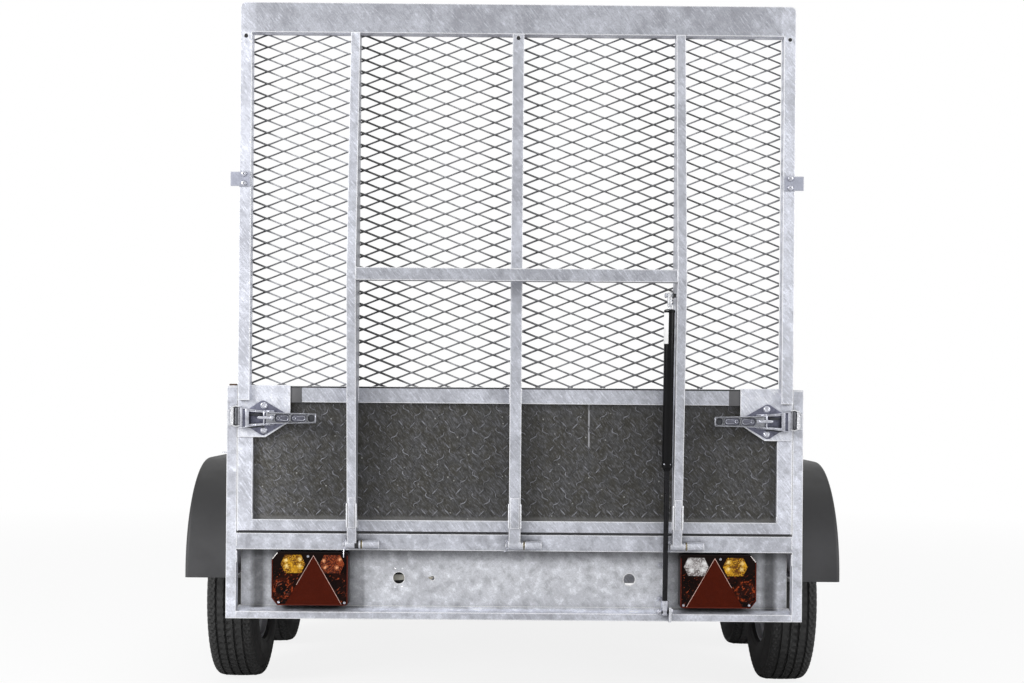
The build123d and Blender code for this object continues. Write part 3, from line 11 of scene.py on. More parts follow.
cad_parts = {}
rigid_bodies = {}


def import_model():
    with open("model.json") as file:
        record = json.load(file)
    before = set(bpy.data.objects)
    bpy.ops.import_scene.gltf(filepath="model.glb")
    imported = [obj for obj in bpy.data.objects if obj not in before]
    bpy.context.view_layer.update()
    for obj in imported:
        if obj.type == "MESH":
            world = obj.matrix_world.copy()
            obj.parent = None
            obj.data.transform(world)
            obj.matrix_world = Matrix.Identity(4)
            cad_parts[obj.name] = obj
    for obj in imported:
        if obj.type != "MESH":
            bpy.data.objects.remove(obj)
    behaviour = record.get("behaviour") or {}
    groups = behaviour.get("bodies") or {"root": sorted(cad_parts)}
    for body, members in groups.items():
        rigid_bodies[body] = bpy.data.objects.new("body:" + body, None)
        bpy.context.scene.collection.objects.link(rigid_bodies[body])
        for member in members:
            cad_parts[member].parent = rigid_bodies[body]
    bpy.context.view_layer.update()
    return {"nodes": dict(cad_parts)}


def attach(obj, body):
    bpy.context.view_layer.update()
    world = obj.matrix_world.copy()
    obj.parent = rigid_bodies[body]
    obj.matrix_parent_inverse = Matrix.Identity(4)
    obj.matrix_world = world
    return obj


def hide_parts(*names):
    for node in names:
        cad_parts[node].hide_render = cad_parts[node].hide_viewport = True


for leftover in list(bpy.data.objects):
    bpy.data.objects.remove(leftover)

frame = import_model()
nodes = frame["nodes"]
rng = random.Random(11)

# ---------------------------------------------------------------- stations of the frame
REAR = -2.160                   # rear face of the posts
POST_IN, POST_OUT = 0.7685, 0.7965
FLOOR_Z = 0.587
BEAM_LOW, LIP_TOP, BOTTOM = 0.542, 0.3705, 0.351
PANEL_Y = REAR + 0.045
RAMP_HALF = 0.766
RAMP_LOW, LOWER_TOP, LIP_LOW = 0.592, 0.994, 1.966
TREAD_FACE = REAR + 0.015
UPPER_FACE = REAR - 0.020
RIB_X, RIB_HALF, CENTRE_HALF = 0.447, 0.0125, 0.016
RIBS = ((-RIB_X, RIB_HALF), (0.0, CENTRE_HALF), (RIB_X, RIB_HALF))      # middle, half width
GUSSET_FACE = REAR - 0.004
LATCH_X, LATCH_Z = 0.697, 0.905
HINGE_Y, HINGE_Z = REAR - 0.014, 0.559
WHEEL_X, WHEEL_R, TYRE_W = 0.927, 0.298, 0.165
AXLE_Y = {"rear": -1.130, "front": -0.420}
SIDES = {"left": -1, "right": 1}
OPTIC_X, OPTIC_Z = 0.6385, 0.4345        # round optic of a rear lamp
STRUT_X = 0.415

# ---------------------------------------------------------------- camera
CAMERA_AT = Vector((-0.030, -6.16, 0.968))
CAMERA_YAW, CAMERA_ROLL = 0.0050, 0.0080
PHOTO_WIDTH, FOCAL_PIXELS, HORIZON_SHIFT = 1024, 1447.3, 0.0542


def add_camera():
    """The photograph's view: level, a little left of the middle, rolled half a degree."""
    lens = bpy.data.cameras.new("camera")
    lens.sensor_width = 36
    lens.lens = 36 * FOCAL_PIXELS / PHOTO_WIDTH
    lens.shift_y = HORIZON_SHIFT
    camera = bpy.data.objects.new("camera", lens)
    ahead = Vector((math.sin(CAMERA_YAW), math.cos(CAMERA_YAW), 0))
    right = Vector((math.cos(CAMERA_YAW), -math.sin(CAMERA_YAW), 0))
    up = right.cross(ahead)
    turned = right * math.cos(CAMERA_ROLL) + up * math.sin(CAMERA_ROLL)
    upright = up * math.cos(CAMERA_ROLL) - right * math.sin(CAMERA_ROLL)
    axes = Matrix((turned, upright, -ahead)).transposed().to_4x4()
    camera.matrix_world = Matrix.Translation(CAMERA_AT) @ axes
    bpy.context.scene.collection.objects.link(camera)
    bpy.context.scene.camera = camera


add_camera()


# ---------------------------------------------------------------- materials
def new_tree(owner):
    """The empty node tree of a material or a world."""
    owner.use_nodes = True
    owner.node_tree.nodes.clear()
    return owner.node_tree


def add_node(tree, kind, inputs=(), **settings):
    """A shader node with its properties; each input is (socket, constant or linked socket)."""
    node = tree.nodes.new("ShaderNode" + kind)
    for setting, value in settings.items():
        setattr(node, setting, value)
    for socket, value in inputs:
        if isinstance(value, bpy.types.NodeSocket):
            tree.links.new(value, node.inputs[socket])
        else:
            node.inputs[socket].default_value = value
    return node


def scaled(tone, gain):
    """A colour made brighter or darker."""
    return tuple(min(1, gain * part) for part in tone)


class Finish:
    """A Principled material with helpers that add procedural detail in object space."""

    def __init__(self, name, roughness, metallic, **sockets):
        self.material = bpy.data.materials.new(name)
        self.tree = new_tree(self.material)
        constants = [(socket.replace("_", " "), value) for socket, value in sockets.items()]
        self.shader = self.node("BsdfPrincipled", [("Roughness", roughness), ("Metallic", metallic), *constants])
        self.node("OutputMaterial", [("Surface", self.shader.outputs["BSDF"])])
        self.place = self.node("TexCoord").outputs["Object"]
        self.relief = None

    def node(self, kind, inputs=(), **settings):
        return add_node(self.tree, kind, inputs, **settings)

    def join(self, source, socket):
        self.tree.links.new(source, self.shader.inputs[socket])

    def mapped(self, turn, stretch):
        """Object coordinates turned, then stretched."""
        turned = self.node("Mapping", [("Vector", self.place), ("Rotation", turn)])
        return self.node("Mapping", [("Vector", turned.outputs["Vector"]), ("Scale", stretch)]).outputs["Vector"]

    def maths(self, how, *values):
        """Numbers or sockets put together."""
        return self.node("Math", enumerate(values), operation=how).outputs["Value"]

    def part(self, axis, mirrored=False):
        """One object coordinate, or its distance from the middle plane."""
        value = self.node("SeparateXYZ", [("Vector", self.place)]).outputs[axis]
        return self.maths("ABSOLUTE", value) if mirrored else value

    def facing(self, axis):
        """One part of the surface's direction, in object space."""
        normal = self.node("TexCoord").outputs["Normal"]
        return self.node("SeparateXYZ", [("Vector", normal)]).outputs[axis]

    def near(self, points):
        """Distance, seen from behind, to the nearest of some |x|, z points."""
        x, z = self.part("X", mirrored=True), self.part("Z")
        nearest = None
        for px, pz in points:
            dx, dz = self.maths("SUBTRACT", x, px), self.maths("SUBTRACT", z, pz)
            square = self.maths("ADD", self.maths("MULTIPLY", dx, dx), self.maths("MULTIPLY", dz, dz))
            nearest = square if nearest is None else self.maths("MINIMUM", nearest, square)
        return self.maths("SQRT", nearest)

    def noise(self, scale, detail, turn=(0, 0, 0), stretch=(1, 1, 1), rough=0.55):
        return self.node("TexNoise", [("Scale", scale), ("Detail", detail), ("Roughness", rough),
                                      ("Vector", self.mapped(turn, stretch))]).outputs["Fac"]

    def cells(self, scale, feature="F1", output="Distance", stretch=(1, 1, 1)):
        node = self.node("TexVoronoi", [("Scale", scale), ("Vector", self.mapped((0, 0, 0), stretch))], feature=feature)
        if output == "Color":
            return self.node("SeparateColor", [("Color", node.outputs["Color"])]).outputs["Red"]
        return node.outputs[output]

    def span(self, value, low, high, first=0.0, last=1.0, how="SMOOTHSTEP"):
        """value from low..high spread over first..last, clamped."""
        return self.node("MapRange", [("Value", value), ("From Min", low), ("From Max", high), ("To Min", first),
                                      ("To Max", last)], interpolation_type=how).outputs["Result"]

    def blend(self, factor, first, last, how="MIX"):
        """Mix of two colours; each is a tuple or a socket."""
        first, last = ((*colour, 1) if isinstance(colour, tuple) else colour for colour in (first, last))
        return self.node("Mix", [("Factor", factor), ("A", first), ("B", last)],
                         data_type="RGBA", blend_type=how).outputs["Result"]

    def over(self, base, value, low, high, weight, tone):
        """The base with a tone laid over it, more and more as the value goes from low to high."""
        return self.blend(self.span(value, low, high, 0, weight), base, tone)

    def gain(self, base, value, low, high, last, first=1.0):
        """The base times first..last, as the value goes from low to high."""
        return self.blend(1.0, base, self.span(value, low, high, first, last), "MULTIPLY")

    def colour(self, source):
        self.join(source, "Base Color")

    def gloss(self, source):
        self.join(source, "Roughness")

    def edge_closeness(self, radius):
        """How close a point is to an edge: 0 on the flat, about 0.3 on a square corner."""
        soft = self.node("Bevel", [("Radius", radius)], samples=6).outputs["Normal"]
        flat = self.node("NewGeometry").outputs["Normal"]
        dot = self.node("VectorMath", [(0, soft), (1, flat)], operation="DOT_PRODUCT")
        return self.maths("SUBTRACT", 1.0, dot.outputs["Value"])

    def open_sky(self, distance):
        """1 in the open, falling towards 0 in corners and under ledges."""
        return self.node("AmbientOcclusion", [("Distance", distance)], samples=6, only_local=False).outputs["AO"]

    def ramp(self, value, low, high, stops, blue=1.06):
        """Grey levels strung along a value from low to high, as (value, level) stops."""
        node = self.node("ValToRGB", [("Fac", self.span(value, low, high, how="LINEAR"))])
        points = node.color_ramp.elements
        for index, (at, level) in enumerate(stops):
            place = (at - low) / (high - low)
            point = points[index] if index < 2 else points.new(place)
            point.position = place
            point.color = (level, level * (1 + 0.17 * (blue - 1)), level * blue, 1)
        return node.outputs["Color"]

    def bump(self, height, strength, distance):
        """Adds one more layer of relief under the shader's normal."""
        layer = [("Height", height), ("Strength", strength), ("Distance", distance)]
        if self.relief is not None:
            layer.append(("Normal", self.relief))
        self.relief = self.node("Bump", layer).outputs["Normal"]
        self.join(self.relief, "Normal")

    def rounded(self, radius):
        """Softens the shading at hard edges."""
        self.relief = self.node("Bevel", [("Radius", radius)], samples=4).outputs["Normal"]
        self.join(self.relief, "Normal")


DIAGONAL = (0.0, math.radians(-52), 0.0)
SCRATCH_X = 0.2056              # long scratch on the tread plate


def galvanised(name, light, dark, metallic=0.5, edge=0.0022, zones=(), flanks=(1.0, 1.0), rim=0.9,
               shade=0.42, bands=(), crown=1.0, belly=1.0, brushed=1.0, cloud=0.25):
    """Hot-dip zinc: soft spangle, brushed diagonal strokes, edges brightened with painted highlights, corners dulled
    with painted shade.

    Each zone is (axis, mirrored, from, to, gain): past "to" the zinc is brighter by the gain.
    The flanks are the gains of the sides that face left and right, the crown and the belly those
    of upward and downward faces; all four paint light and shade by facing. Each band is (depth, axis, mirrored,
    stops): grey levels of painted shade along the axis, further forward than the depth. Brushed and cloud weigh the
    strokes and the mottling.
    """
    f = Finish(name, 0.45, metallic)
    f.rounded(edge)
    mottle = f.noise(36, 5, rough=0.68)
    strokes = f.noise(72, 3, DIAGONAL, (0.50, 3.0, 4.2), 0.6)
    base = f.blend(f.span(f.noise(9, 5), 0.32, 0.68), dark, light)
    for value, low, high, weight, tone in (
            (f.cells(95, output="Color"), 0.1, 0.9, 0.22, scaled(light, 0.70)),
            (mottle, 0.52, 0.66, cloud, scaled(light, 1.50)),
            (mottle, 0.48, 0.36, cloud, scaled(dark, 0.55)),
            (strokes, 0.53, 0.72, 0.62 * brushed, scaled(light, 1.45)),
            (strokes, 0.47, 0.28, 0.50 * brushed, scaled(dark, 0.60)),
            (f.noise(260, 3), 0.40, 0.66, 0.30, scaled(dark, 0.62))):
        base = f.over(base, value, low, high, weight, tone)
    for axis, mirrored, low, high, gain in zones:
        base = f.gain(base, f.part(axis, mirrored), low, high, gain)
    # painted highlight along the edges, weighed by rim
    base = f.over(base, f.edge_closeness(0.0048), 0.006, 0.10, rim, (0.93, 0.935, 0.95))
    # painted light and shade by the way a face faces
    for axis, low, high, gain in (("X", -0.4, -0.9, flanks[0]), ("X", 0.4, 0.9, flanks[1]),
                                  ("Z", 0.3, 0.8, crown), ("Z", -0.3, -0.8, belly)):
        if gain != 1.0:
            base = f.gain(base, f.facing(axis), low, high, gain)
    # bands of painted shade
    for depth, axis, mirrored, stops in bands:
        behind = f.span(f.part("Y"), depth - 0.001, depth, 0, 1)
        level = f.ramp(f.part(axis, mirrored), stops[0][0], stops[-1][0], stops, 0.985)
        base = f.blend(behind, base, level, "MULTIPLY")
    # painted shade in corners and under ledges
    f.colour(f.gain(base, f.open_sky(0.035), 0.25, 0.90, 1.0, first=shade))
    f.gloss(f.span(strokes, 0.25, 0.75, 0.38, 0.58))
    f.bump(f.noise(420, 2, DIAGONAL, (0.35, 1.0, 1.6)), 0.14, 0.0006)
    f.bump(strokes, 0.12, 0.0008)
    return f.material


def plated(name, tone, roughness=0.24):
    """Bright zinc plate with a faint blue cast and small tarnish marks."""
    f = Finish(name, roughness, 0.95)
    f.rounded(0.001)
    marks = f.noise(90, 4)
    f.colour(f.blend(f.span(marks, 0.42, 0.72), tone, scaled(tone, 0.62)))
    f.gloss(f.span(marks, 0.3, 0.7, roughness, roughness + 0.16))
    f.bump(f.noise(300, 2), 0.08, 0.0004)
    return f.material


def tread_metal():
    """Dark, rubbed chequer plate: brown-grey base with faint scuffs, one long scratch and pale flecks."""
    f = Finish("tread_plate_metal", 0.46, 0.35)
    drift = f.noise(30, 5)
    rub = f.noise(120, 3, DIAGONAL, (0.7, 1.8, 2.2), 0.62)
    cross = f.noise(130, 3, tuple(-c for c in DIAGONAL), (0.7, 1.8, 2.2), 0.62)
    base = f.blend(f.span(drift, 0.34, 0.66), (0.038, 0.036, 0.030), (0.050, 0.050, 0.051))
    base = f.over(base, rub, 0.52, 0.66, 0.70, (0.125, 0.125, 0.138))
    base = f.over(base, cross, 0.54, 0.68, 0.55, (0.110, 0.107, 0.100))
    base = f.over(base, rub, 0.48, 0.36, 0.7, (0.018, 0.017, 0.015))
    base = f.gain(base, f.part("X"), -0.50, -0.70, 1.60)
    z = f.part("Z")
    foot = f.maths("ADD", z, f.maths("MULTIPLY", drift, 0.014))
    base = f.over(base, foot, 0.646, 0.634, 0.5, (0.20, 0.198, 0.190))
    wander = f.maths("ADD", f.part("X"), f.maths("MULTIPLY", f.noise(30, 2), 0.003))
    across = f.maths("ABSOLUTE", f.maths("SUBTRACT", wander, SCRATCH_X))
    tall = f.maths("MULTIPLY", f.span(z, 0.826, 0.834, 0, 1), f.span(z, 0.945, 0.925, 0.6, 1))
    rear_side = f.span(f.facing("Y"), -0.2, -0.6, 0, 1)
    scratch = f.maths("MULTIPLY", f.maths("MULTIPLY", tall, rear_side), f.span(across, 0.0030, 0.0012, 0, 0.85))
    base = f.blend(scratch, base, (0.34, 0.34, 0.36))
    flecks = f.cells(34, stretch=(1, 0.01, 1))
    f.colour(f.over(base, flecks, 0.085, 0.055, 0.75, (0.36, 0.36, 0.35)))
    f.gloss(f.span(rub, 0.3, 0.7, 0.40, 0.62))
    f.bump(f.noise(500, 2), 0.12, 0.0005)
    f.bump(rub, 0.16, 0.0006)
    return f.material


def bar_metal():
    """The raised bars: the same plate, rubbed paler in places and left dark in others."""
    f = Finish("tread_bar_metal", 0.34, 0.5)
    rub = f.noise(34, 5)
    scuff = f.noise(160, 3, DIAGONAL, (0.5, 1.6, 2.2))
    base = f.blend(f.span(rub, 0.36, 0.62), (0.080, 0.080, 0.082), (0.235, 0.238, 0.262))
    base = f.over(base, f.part("Z"), 0.675, 0.655, 0.45, (0.30, 0.302, 0.325))
    f.colour(f.over(base, scuff, 0.50, 0.36, 0.5, (0.050, 0.049, 0.046)))
    f.gloss(f.span(rub, 0.3, 0.7, 0.32, 0.5))
    f.bump(f.noise(600, 2), 0.12, 0.0004)
    return f.material


def strand_metal(name, stops):
    """Cut edges of the mesh strands: dull zinc with painted light and shade, paler or darker from place to place."""
    f = Finish(name, 0.5, 0.35)
    drift = f.noise(60, 3)
    level = f.ramp(f.part("X"), -MESH_HALF, MESH_HALF, [(x, tone) for x, tone, _ in stops])
    f.colour(f.blend(1.0, level, f.span(drift, 0.34, 0.66, 0.72, 1.30), "MULTIPLY"))
    f.bump(f.noise(700, 2), 0.15, 0.0004)
    return f.material


def painted(name, tone, roughness, grain=450, depth=0.0004, edge=0.0012, vary=1.5, shine=0.5, zones=()):
    """Paint, plastic or moulded rubber with a fine grain; zones as on the zinc."""
    f = Finish(name, roughness, 0.0, Specular_IOR_Level=shine)
    f.rounded(edge)
    drift = f.noise(9, 4)
    base = f.blend(f.span(drift, 0.3, 0.7), tone, scaled(tone, vary))
    for axis, mirrored, low, high, gain in zones:
        base = f.gain(base, f.part(axis, mirrored), low, high, gain)
    f.colour(base)
    f.gloss(f.span(drift, 0.3, 0.7, roughness - 0.06, roughness + 0.08))
    f.bump(f.cells(grain), 0.22, depth)
    return f.material


def tyre_rubber():
    """Dusty drifts on black, with a fine skin."""
    f = Finish("tyre_rubber", 0.78, 0.0)
    dust = f.noise(14, 5)
    f.colour(f.over((0.021, 0.021, 0.021), dust, 0.42, 0.74, 0.6, (0.0586, 0.0586, 0.0586)))
    f.gloss(f.span(dust, 0.3, 0.7, 0.68, 0.88))
    f.bump(f.noise(380, 3), 0.22, 0.0006)
    return f.material


def film_faced_ply():
    """Brown phenolic floor board with its pressed wire pattern."""
    f = Finish("film_faced_ply", 0.5, 0.0)
    drift = f.noise(6, 4)
    wire = f.cells(190, "DISTANCE_TO_EDGE", stretch=(1, 0.62, 1))
    base = f.blend(f.span(drift, 0.3, 0.7), (0.052, 0.026, 0.016), (0.095, 0.052, 0.034))
    f.colour(f.blend(f.span(wire, 0.03, 0.12), (0.13, 0.08, 0.055), base))
    f.gloss(f.span(drift, 0.3, 0.7, 0.42, 0.62))
    f.bump(f.span(wire, 0.0, 0.14, 1, 0), 0.4, 0.0006)
    return f.material


def lamp_plastic(name, deep, bright, pitch, roughness, clear, sparkle, shine=0.12, sparks=(), spark=(1, 1, 1),
                 size=0.006):
    """Transparent lamp moulding with pressed optics, and painted highlights for the bright spots of its reflector."""
    f = Finish(name, roughness, 0.0, Transmission_Weight=clear, IOR=1.45, Specular_IOR_Level=shine)
    optics = f.cells(pitch, stretch=(1, 1, 1.35))
    glow = f.noise(38, 3)
    base = f.blend(f.span(optics, 0.08, 0.62), bright, deep)
    base = f.over(base, glow, 0.46, 0.72, sparkle, bright)
    if sparks:
        wobble = f.maths("ADD", f.near(sparks), f.maths("MULTIPLY", f.noise(190, 4), 0.014))
        halo = tuple(0.5 * (a + b) for a, b in zip(spark, bright))
        base = f.over(base, wobble, 0.0080 + size * 1.2, 0.0070 + size * 0.3, 0.85, halo)
        base = f.over(base, wobble, 0.0070 + size * 0.7, 0.0062, 1, spark)
    f.colour(base)
    f.bump(optics, 0.5, 0.0016)
    return f.material


def smoked_red():
    """Nearly black red cover, with painted orange glints from the reflectors behind it and a painted shadow along its
    top.
    """
    f = Finish("lamp_cover_red", 0.16, 0.0, Specular_IOR_Level=0.06)
    glint_streaks = f.noise(95, 4, (0, math.radians(35), 0), (1.0, 1.0, 2.2), 0.65)
    glow = f.noise(26, 3)
    # painted glints: orange spots in a ring round the round optic
    ring = f.near(((OPTIC_X, OPTIC_Z),))
    rim = f.maths("MULTIPLY", f.span(ring, 0.018, 0.022, 0, 1), f.span(ring, 0.032, 0.026, 0, 1))
    base = f.blend(f.span(glow, 0.42, 0.68), (0.0045, 0.0018, 0.0015), (0.020, 0.0042, 0.0025))
    base = f.blend(f.maths("MULTIPLY", rim, f.span(f.noise(110, 3), 0.52, 0.62, 0.06, 0.80)), base,
                   (0.36, 0.055, 0.015))
    # painted glints: orange streaks
    base = f.over(base, glint_streaks, 0.59, 0.66, 0.9, (0.40, 0.070, 0.020))
    # painted shadow: the cover nearly black along its top
    f.colour(f.blend(f.span(f.part("Z"), 0.500, 0.470, 0, 1), (0.006, 0.0025, 0.002), base))
    f.bump(glint_streaks, 0.4, 0.0012)
    return f.material


ZINC_LIGHT, ZINC_DARK = (0.545, 0.56, 0.62), (0.40, 0.41, 0.455)
MESH_HALF = 0.732
# (x, tone, width) across the ramp, of the mesh strands that rise and that fall to the right; the tones are painted
# light and shade, darker where the ribs shade the strands
RISING = ((-0.732, 0.085, 1.10), (-0.690, 0.110, 0.98), (-0.665, 0.135, 0.82), (-0.470, 0.135, 0.82),
          (-0.4345, 0.120, 1.05), (-0.325, 0.145, 1.00), (-0.290, 0.140, 0.86), (-0.070, 0.140, 0.86),
          (-0.030, 0.095, 0.98), (0.016, 0.175, 1.08), (0.060, 0.190, 1.02), (0.090, 0.180, 0.84),
          (0.255, 0.180, 0.84), (0.320, 0.105, 1.00), (0.430, 0.085, 1.05), (0.4595, 0.360, 0.80),
          (0.672, 0.360, 0.80), (0.700, 0.200, 0.96), (0.732, 0.150, 1.05))
FALLING = ((-0.732, 0.065, 1.18), (-0.705, 0.090, 1.10), (-0.675, 0.330, 0.80), (-0.470, 0.350, 0.76),
           (-0.4345, 0.045, 1.22), (-0.325, 0.060, 1.12), (-0.288, 0.250, 0.90), (-0.100, 0.260, 0.82),
           (-0.062, 0.110, 1.05), (-0.030, 0.300, 0.90), (0.016, 0.065, 1.20), (0.056, 0.150, 1.10),
           (0.090, 0.205, 0.86), (0.255, 0.205, 0.86), (0.354, 0.180, 0.98), (0.430, 0.130, 1.02),
           (0.4595, 0.075, 1.02), (0.620, 0.110, 0.95), (0.674, 0.180, 0.86), (0.732, 0.110, 1.02))
# |x|, z of the painted highlights: bright spots in the lamps' outer and inner lenses
OUTER_SPARKS = ((0.630, 0.5122), (0.592, 0.5158), (0.6283, 0.4966), (0.592, 0.4966))
INNER_SPARKS = ((0.5262, 0.5122), (0.4815, 0.5158), (0.5212, 0.4942), (0.4901, 0.4934))
# (axis, mirrored, (place, grey level) stops) of the shade that falls across the rear frame's recess
REAR_BANDS = (
    ("X", True, ((0.600, 0.95), (0.686, 0.98), (0.697, 0.56), (0.704, 0.31), (0.722, 0.28), (0.732, 0.66),
                 (0.738, 1.0), (0.770, 1.0))),
    ("X", False, ((-0.700, 1.0), (-0.560, 0.68), (-0.4190, 0.68), (-0.4165, 1.0), (0.4200, 1.0), (0.4225, 0.56),
                  (0.560, 0.56), (0.700, 1.0))),
    ("Z", False, ((0.400, 1.0), (0.492, 0.98), (0.506, 0.92), (0.519, 0.70), (0.526, 0.54), (0.542, 0.46))))
FINISH = {
    "galvanised": galvanised("galvanised_steel", ZINC_LIGHT, ZINC_DARK),
    # rear frame: painted light and shade, with paler posts, tops and recessed faces, darker sides, bands of shade
    # across the recess and darker corners
    "rear": galvanised(
        "galvanised_rear_frame", ZINC_LIGHT, ZINC_DARK, flanks=(0.9, 0.8), shade=0.5, crown=1.45, brushed=0.40,
        zones=(("X", True, 0.7680, 0.7690, 1.22), ("Y", False, REAR + 0.006, REAR + 0.020, 1.22)), cloud=0.42,
        bands=[(REAR + 0.030, *band) for band in REAR_BANDS]),
    # ramp: painted light and shade, with paler outer uprights, undersides and right-facing sides, and a darker lip
    "ramp": galvanised("galvanised_ramp", ZINC_LIGHT, ZINC_DARK, flanks=(1.0, 1.1), shade=0.8, belly=1.9, zones=(
        ("X", True, 0.718, 0.728, 1.26), ("Z", False, LIP_LOW - 0.004, LIP_LOW + 0.004, 0.84))),
    # ribs: sides facing left paler and those facing right darker, as painted light and shade; the right rib darker and
    # the left rib paler
    "rib": galvanised("galvanised_ribs", ZINC_LIGHT, ZINC_DARK, flanks=(1.15, 0.60), shade=0.75, zones=(
        ("X", False, 0.20, 0.40, 0.93), ("X", False, -0.20, -0.40, 1.10))),
    # paler copies of the zinc for the keepers and gussets and a darker one for the brace: painted light and shade
    "post": galvanised("galvanised_posts", scaled(ZINC_LIGHT, 1.22), scaled(ZINC_DARK, 1.22)),
    "gusset": galvanised("galvanised_gussets", scaled(ZINC_LIGHT, 1.40), scaled(ZINC_DARK, 1.56), shade=0.8),
    "brace": galvanised("galvanised_brace", scaled(ZINC_LIGHT, 0.86), scaled(ZINC_DARK, 0.86)),
    "sheet": galvanised("galvanised_sheet", (0.50, 0.515, 0.555), (0.40, 0.41, 0.445), 0.5, 0.0010),
    "lug": galvanised("galvanised_lugs", (0.400, 0.415, 0.490), (0.365, 0.380, 0.455), 0.4, 0.0012, rim=0.2,
                      brushed=0.3, cloud=0.10),
    "bead": galvanised("weld_beads", (0.82, 0.83, 0.87), (0.62, 0.63, 0.67), shade=0.7, brushed=0.3),
    "brown": painted("brown_stop", (0.050, 0.022, 0.009), 0.6),
    "beige": painted("inner_member", (0.30, 0.292, 0.258), 0.6),
    "khaki": painted("grommet_rubber", (0.20, 0.188, 0.155), 0.6),
    # lit and shaded copies of one strand finish, by the way the strands lean: painted light and shade
    "strand_rising": strand_metal("strand_rising", RISING),
    "strand_falling": strand_metal("strand_falling", FALLING),
    "tread": tread_metal(),
    "bar": bar_metal(),
    "plated": plated("bright_zinc", (0.56, 0.57, 0.63)),
    "plate_dull": plated("blue_zinc", (0.150, 0.154, 0.205), 0.34),
    "roll": plated("bright_rolls", (0.86, 0.87, 0.90), 0.2),
    "plate_dark": plated("shaded_zinc", (0.070, 0.072, 0.080), 0.34),
    "plate_grey": plated("grey_zinc", (0.26, 0.265, 0.285), 0.34),
    # pocket floors: zinc darkened as painted shade
    "pocket": plated("shaded_pocket_zinc", (0.155, 0.158, 0.195), 0.30),
    "brass": plated("passivated_zinc", (0.40, 0.32, 0.15), 0.3),
    "cylinder": painted("strut_paint", (0.004, 0.004, 0.0045), 0.30, 900, 0.0001, shine=0.10),
    "rod": plated("strut_rod_black", (0.022, 0.022, 0.024), 0.26),
    "guard": painted("moulded_guard", (0.046, 0.046, 0.048), 0.52, 520, 0.0005, 0.0025, 1.35, shine=0.3,
                     zones=(("Z", False, 0.42, 0.72, 0.16),)),
    "lamp_base": painted("lamp_base_plastic", (0.010, 0.006, 0.006), 0.36, shine=0.2),
    "cover": smoked_red(),
    # brighter red of the lamp rims: painted highlight
    "cover_rim": painted("lamp_cover_rim", (0.070, 0.010, 0.005), 0.25, 700, 0.0001, shine=0.10),
    "reflector": lamp_plastic("reflector_red", (0.050, 0.0060, 0.0022), (0.085, 0.011, 0.004),
                              620, 0.30, 0.0, 0.25, 0.04),
    # pale triangle edges and corner glint: painted highlights
    "reflector_edge": painted("reflector_rim", (0.56, 0.36, 0.31), 0.3, 900, 0.0001),
    "glint": painted("lamp_corner_glint", (0.70, 0.64, 0.62), 0.3, 900, 0.0001),
    "amber": lamp_plastic("lens_amber", (0.13, 0.042, 0.002), (0.82, 0.43, 0.020), 210, 0.10, 0.2, 0.85,
                          sparks=OUTER_SPARKS, spark=(1.0, 0.82, 0.36)),
    "orange": lamp_plastic("lens_red_orange", (0.050, 0.007, 0.002), (0.40, 0.070, 0.014), 230, 0.10, 0.2, 0.7,
                           sparks=INNER_SPARKS, spark=(1.0, 0.46, 0.22)),
    "clear": lamp_plastic("lens_clear", (0.17, 0.145, 0.14), (0.86, 0.84, 0.84), 210, 0.08, 0.3, 0.9,
                          sparks=INNER_SPARKS, size=0.009),
    "ply": film_faced_ply(),
    "tyre": tyre_rubber(),
    "wheel": painted("wheel_silver_paint", (0.46, 0.47, 0.49), 0.32, 700, 0.0001, 0.0015, 1.12),
    "cast": painted("cast_iron", (0.050, 0.048, 0.046), 0.62, 240, 0.0008, 0.002, 1.7),
    "black": painted("black_paint", (0.020, 0.020, 0.021), 0.36, 600, 0.0002),
    "bellows": painted("bellows_rubber", (0.022, 0.022, 0.023), 0.6, 500, 0.0003),
    "solid_tyre": painted("solid_tyre_rubber", (0.024, 0.024, 0.025), 0.66, 420, 0.0004),
    "label": painted("label_white", (0.70, 0.70, 0.70), 0.4, 900, 0.00005),
    "hole": painted("shadowed_hole", (0.012, 0.012, 0.013), 0.8),
    # dark grey plates of painted shade at the cross rail's ends
    "rail_shade": painted("rail_end_shade", (0.080, 0.080, 0.084), 0.6),
}

NODE_FINISH = {
    "rear": ("rear_frame",),
    "ramp": ("ramp_lower_frame", "ramp_upper_frame"),
    "rib": ("outer_ribs", "centre_rib"),
    "gusset": ("gussets",),
    "galvanised": (
        "side_rails", "cross_members", "side_frames", "headboard", "axle_rear", "axle_front",
        "axle_brackets", "guard_brackets", "fixed_hinges", "strut_bracket", "drawbar_leg_left",
        "drawbar_leg_right"),
    "brace": ("ramp_brace",),
    "lug": ("ramp_lugs",),
    "sheet": ("side_panels",),
    "ply": ("floor",),
    "guard": ("mudguard_left", "mudguard_right"),
    "tread": ("tread_plate",),
    "plated": ("coupling_head", "jockey_tube", "jockey_clamp", "jockey_leg", "jockey_fork"),
    "post": ("keepers",),
    "lamp_base": ("lamp_bodies",),
    "reflector": ("lamp_triangles",),
    "amber": ("amber_lenses",),
    "orange": ("fog_lens",),
    "clear": ("reverse_lens",),
    "cylinder": ("strut_cylinder",),
    "rod": ("strut_rod",),
    "black": ("overrun_unit", "coupling_shaft", "brake_lever"),
    "bellows": ("gaiter",),
    "solid_tyre": ("jockey_wheel",),
    "tyre": tuple(f"tyre_{place}_{hand}" for place in AXLE_Y for hand in SIDES),
    "wheel": tuple(f"rim_{place}_{hand}" for place in AXLE_Y for hand in SIDES),
    "cast": tuple(f"drum_{place}_{hand}" for place in AXLE_Y for hand in SIDES),
    "strand_rising": ("ramp_mesh",),
}
for finish, names in NODE_FINISH.items():
    for name in names:
        nodes[name].data.materials.clear()
        nodes[name].data.materials.append(FINISH[finish])
nodes["latches"].data.materials[0] = FINISH["plated"]


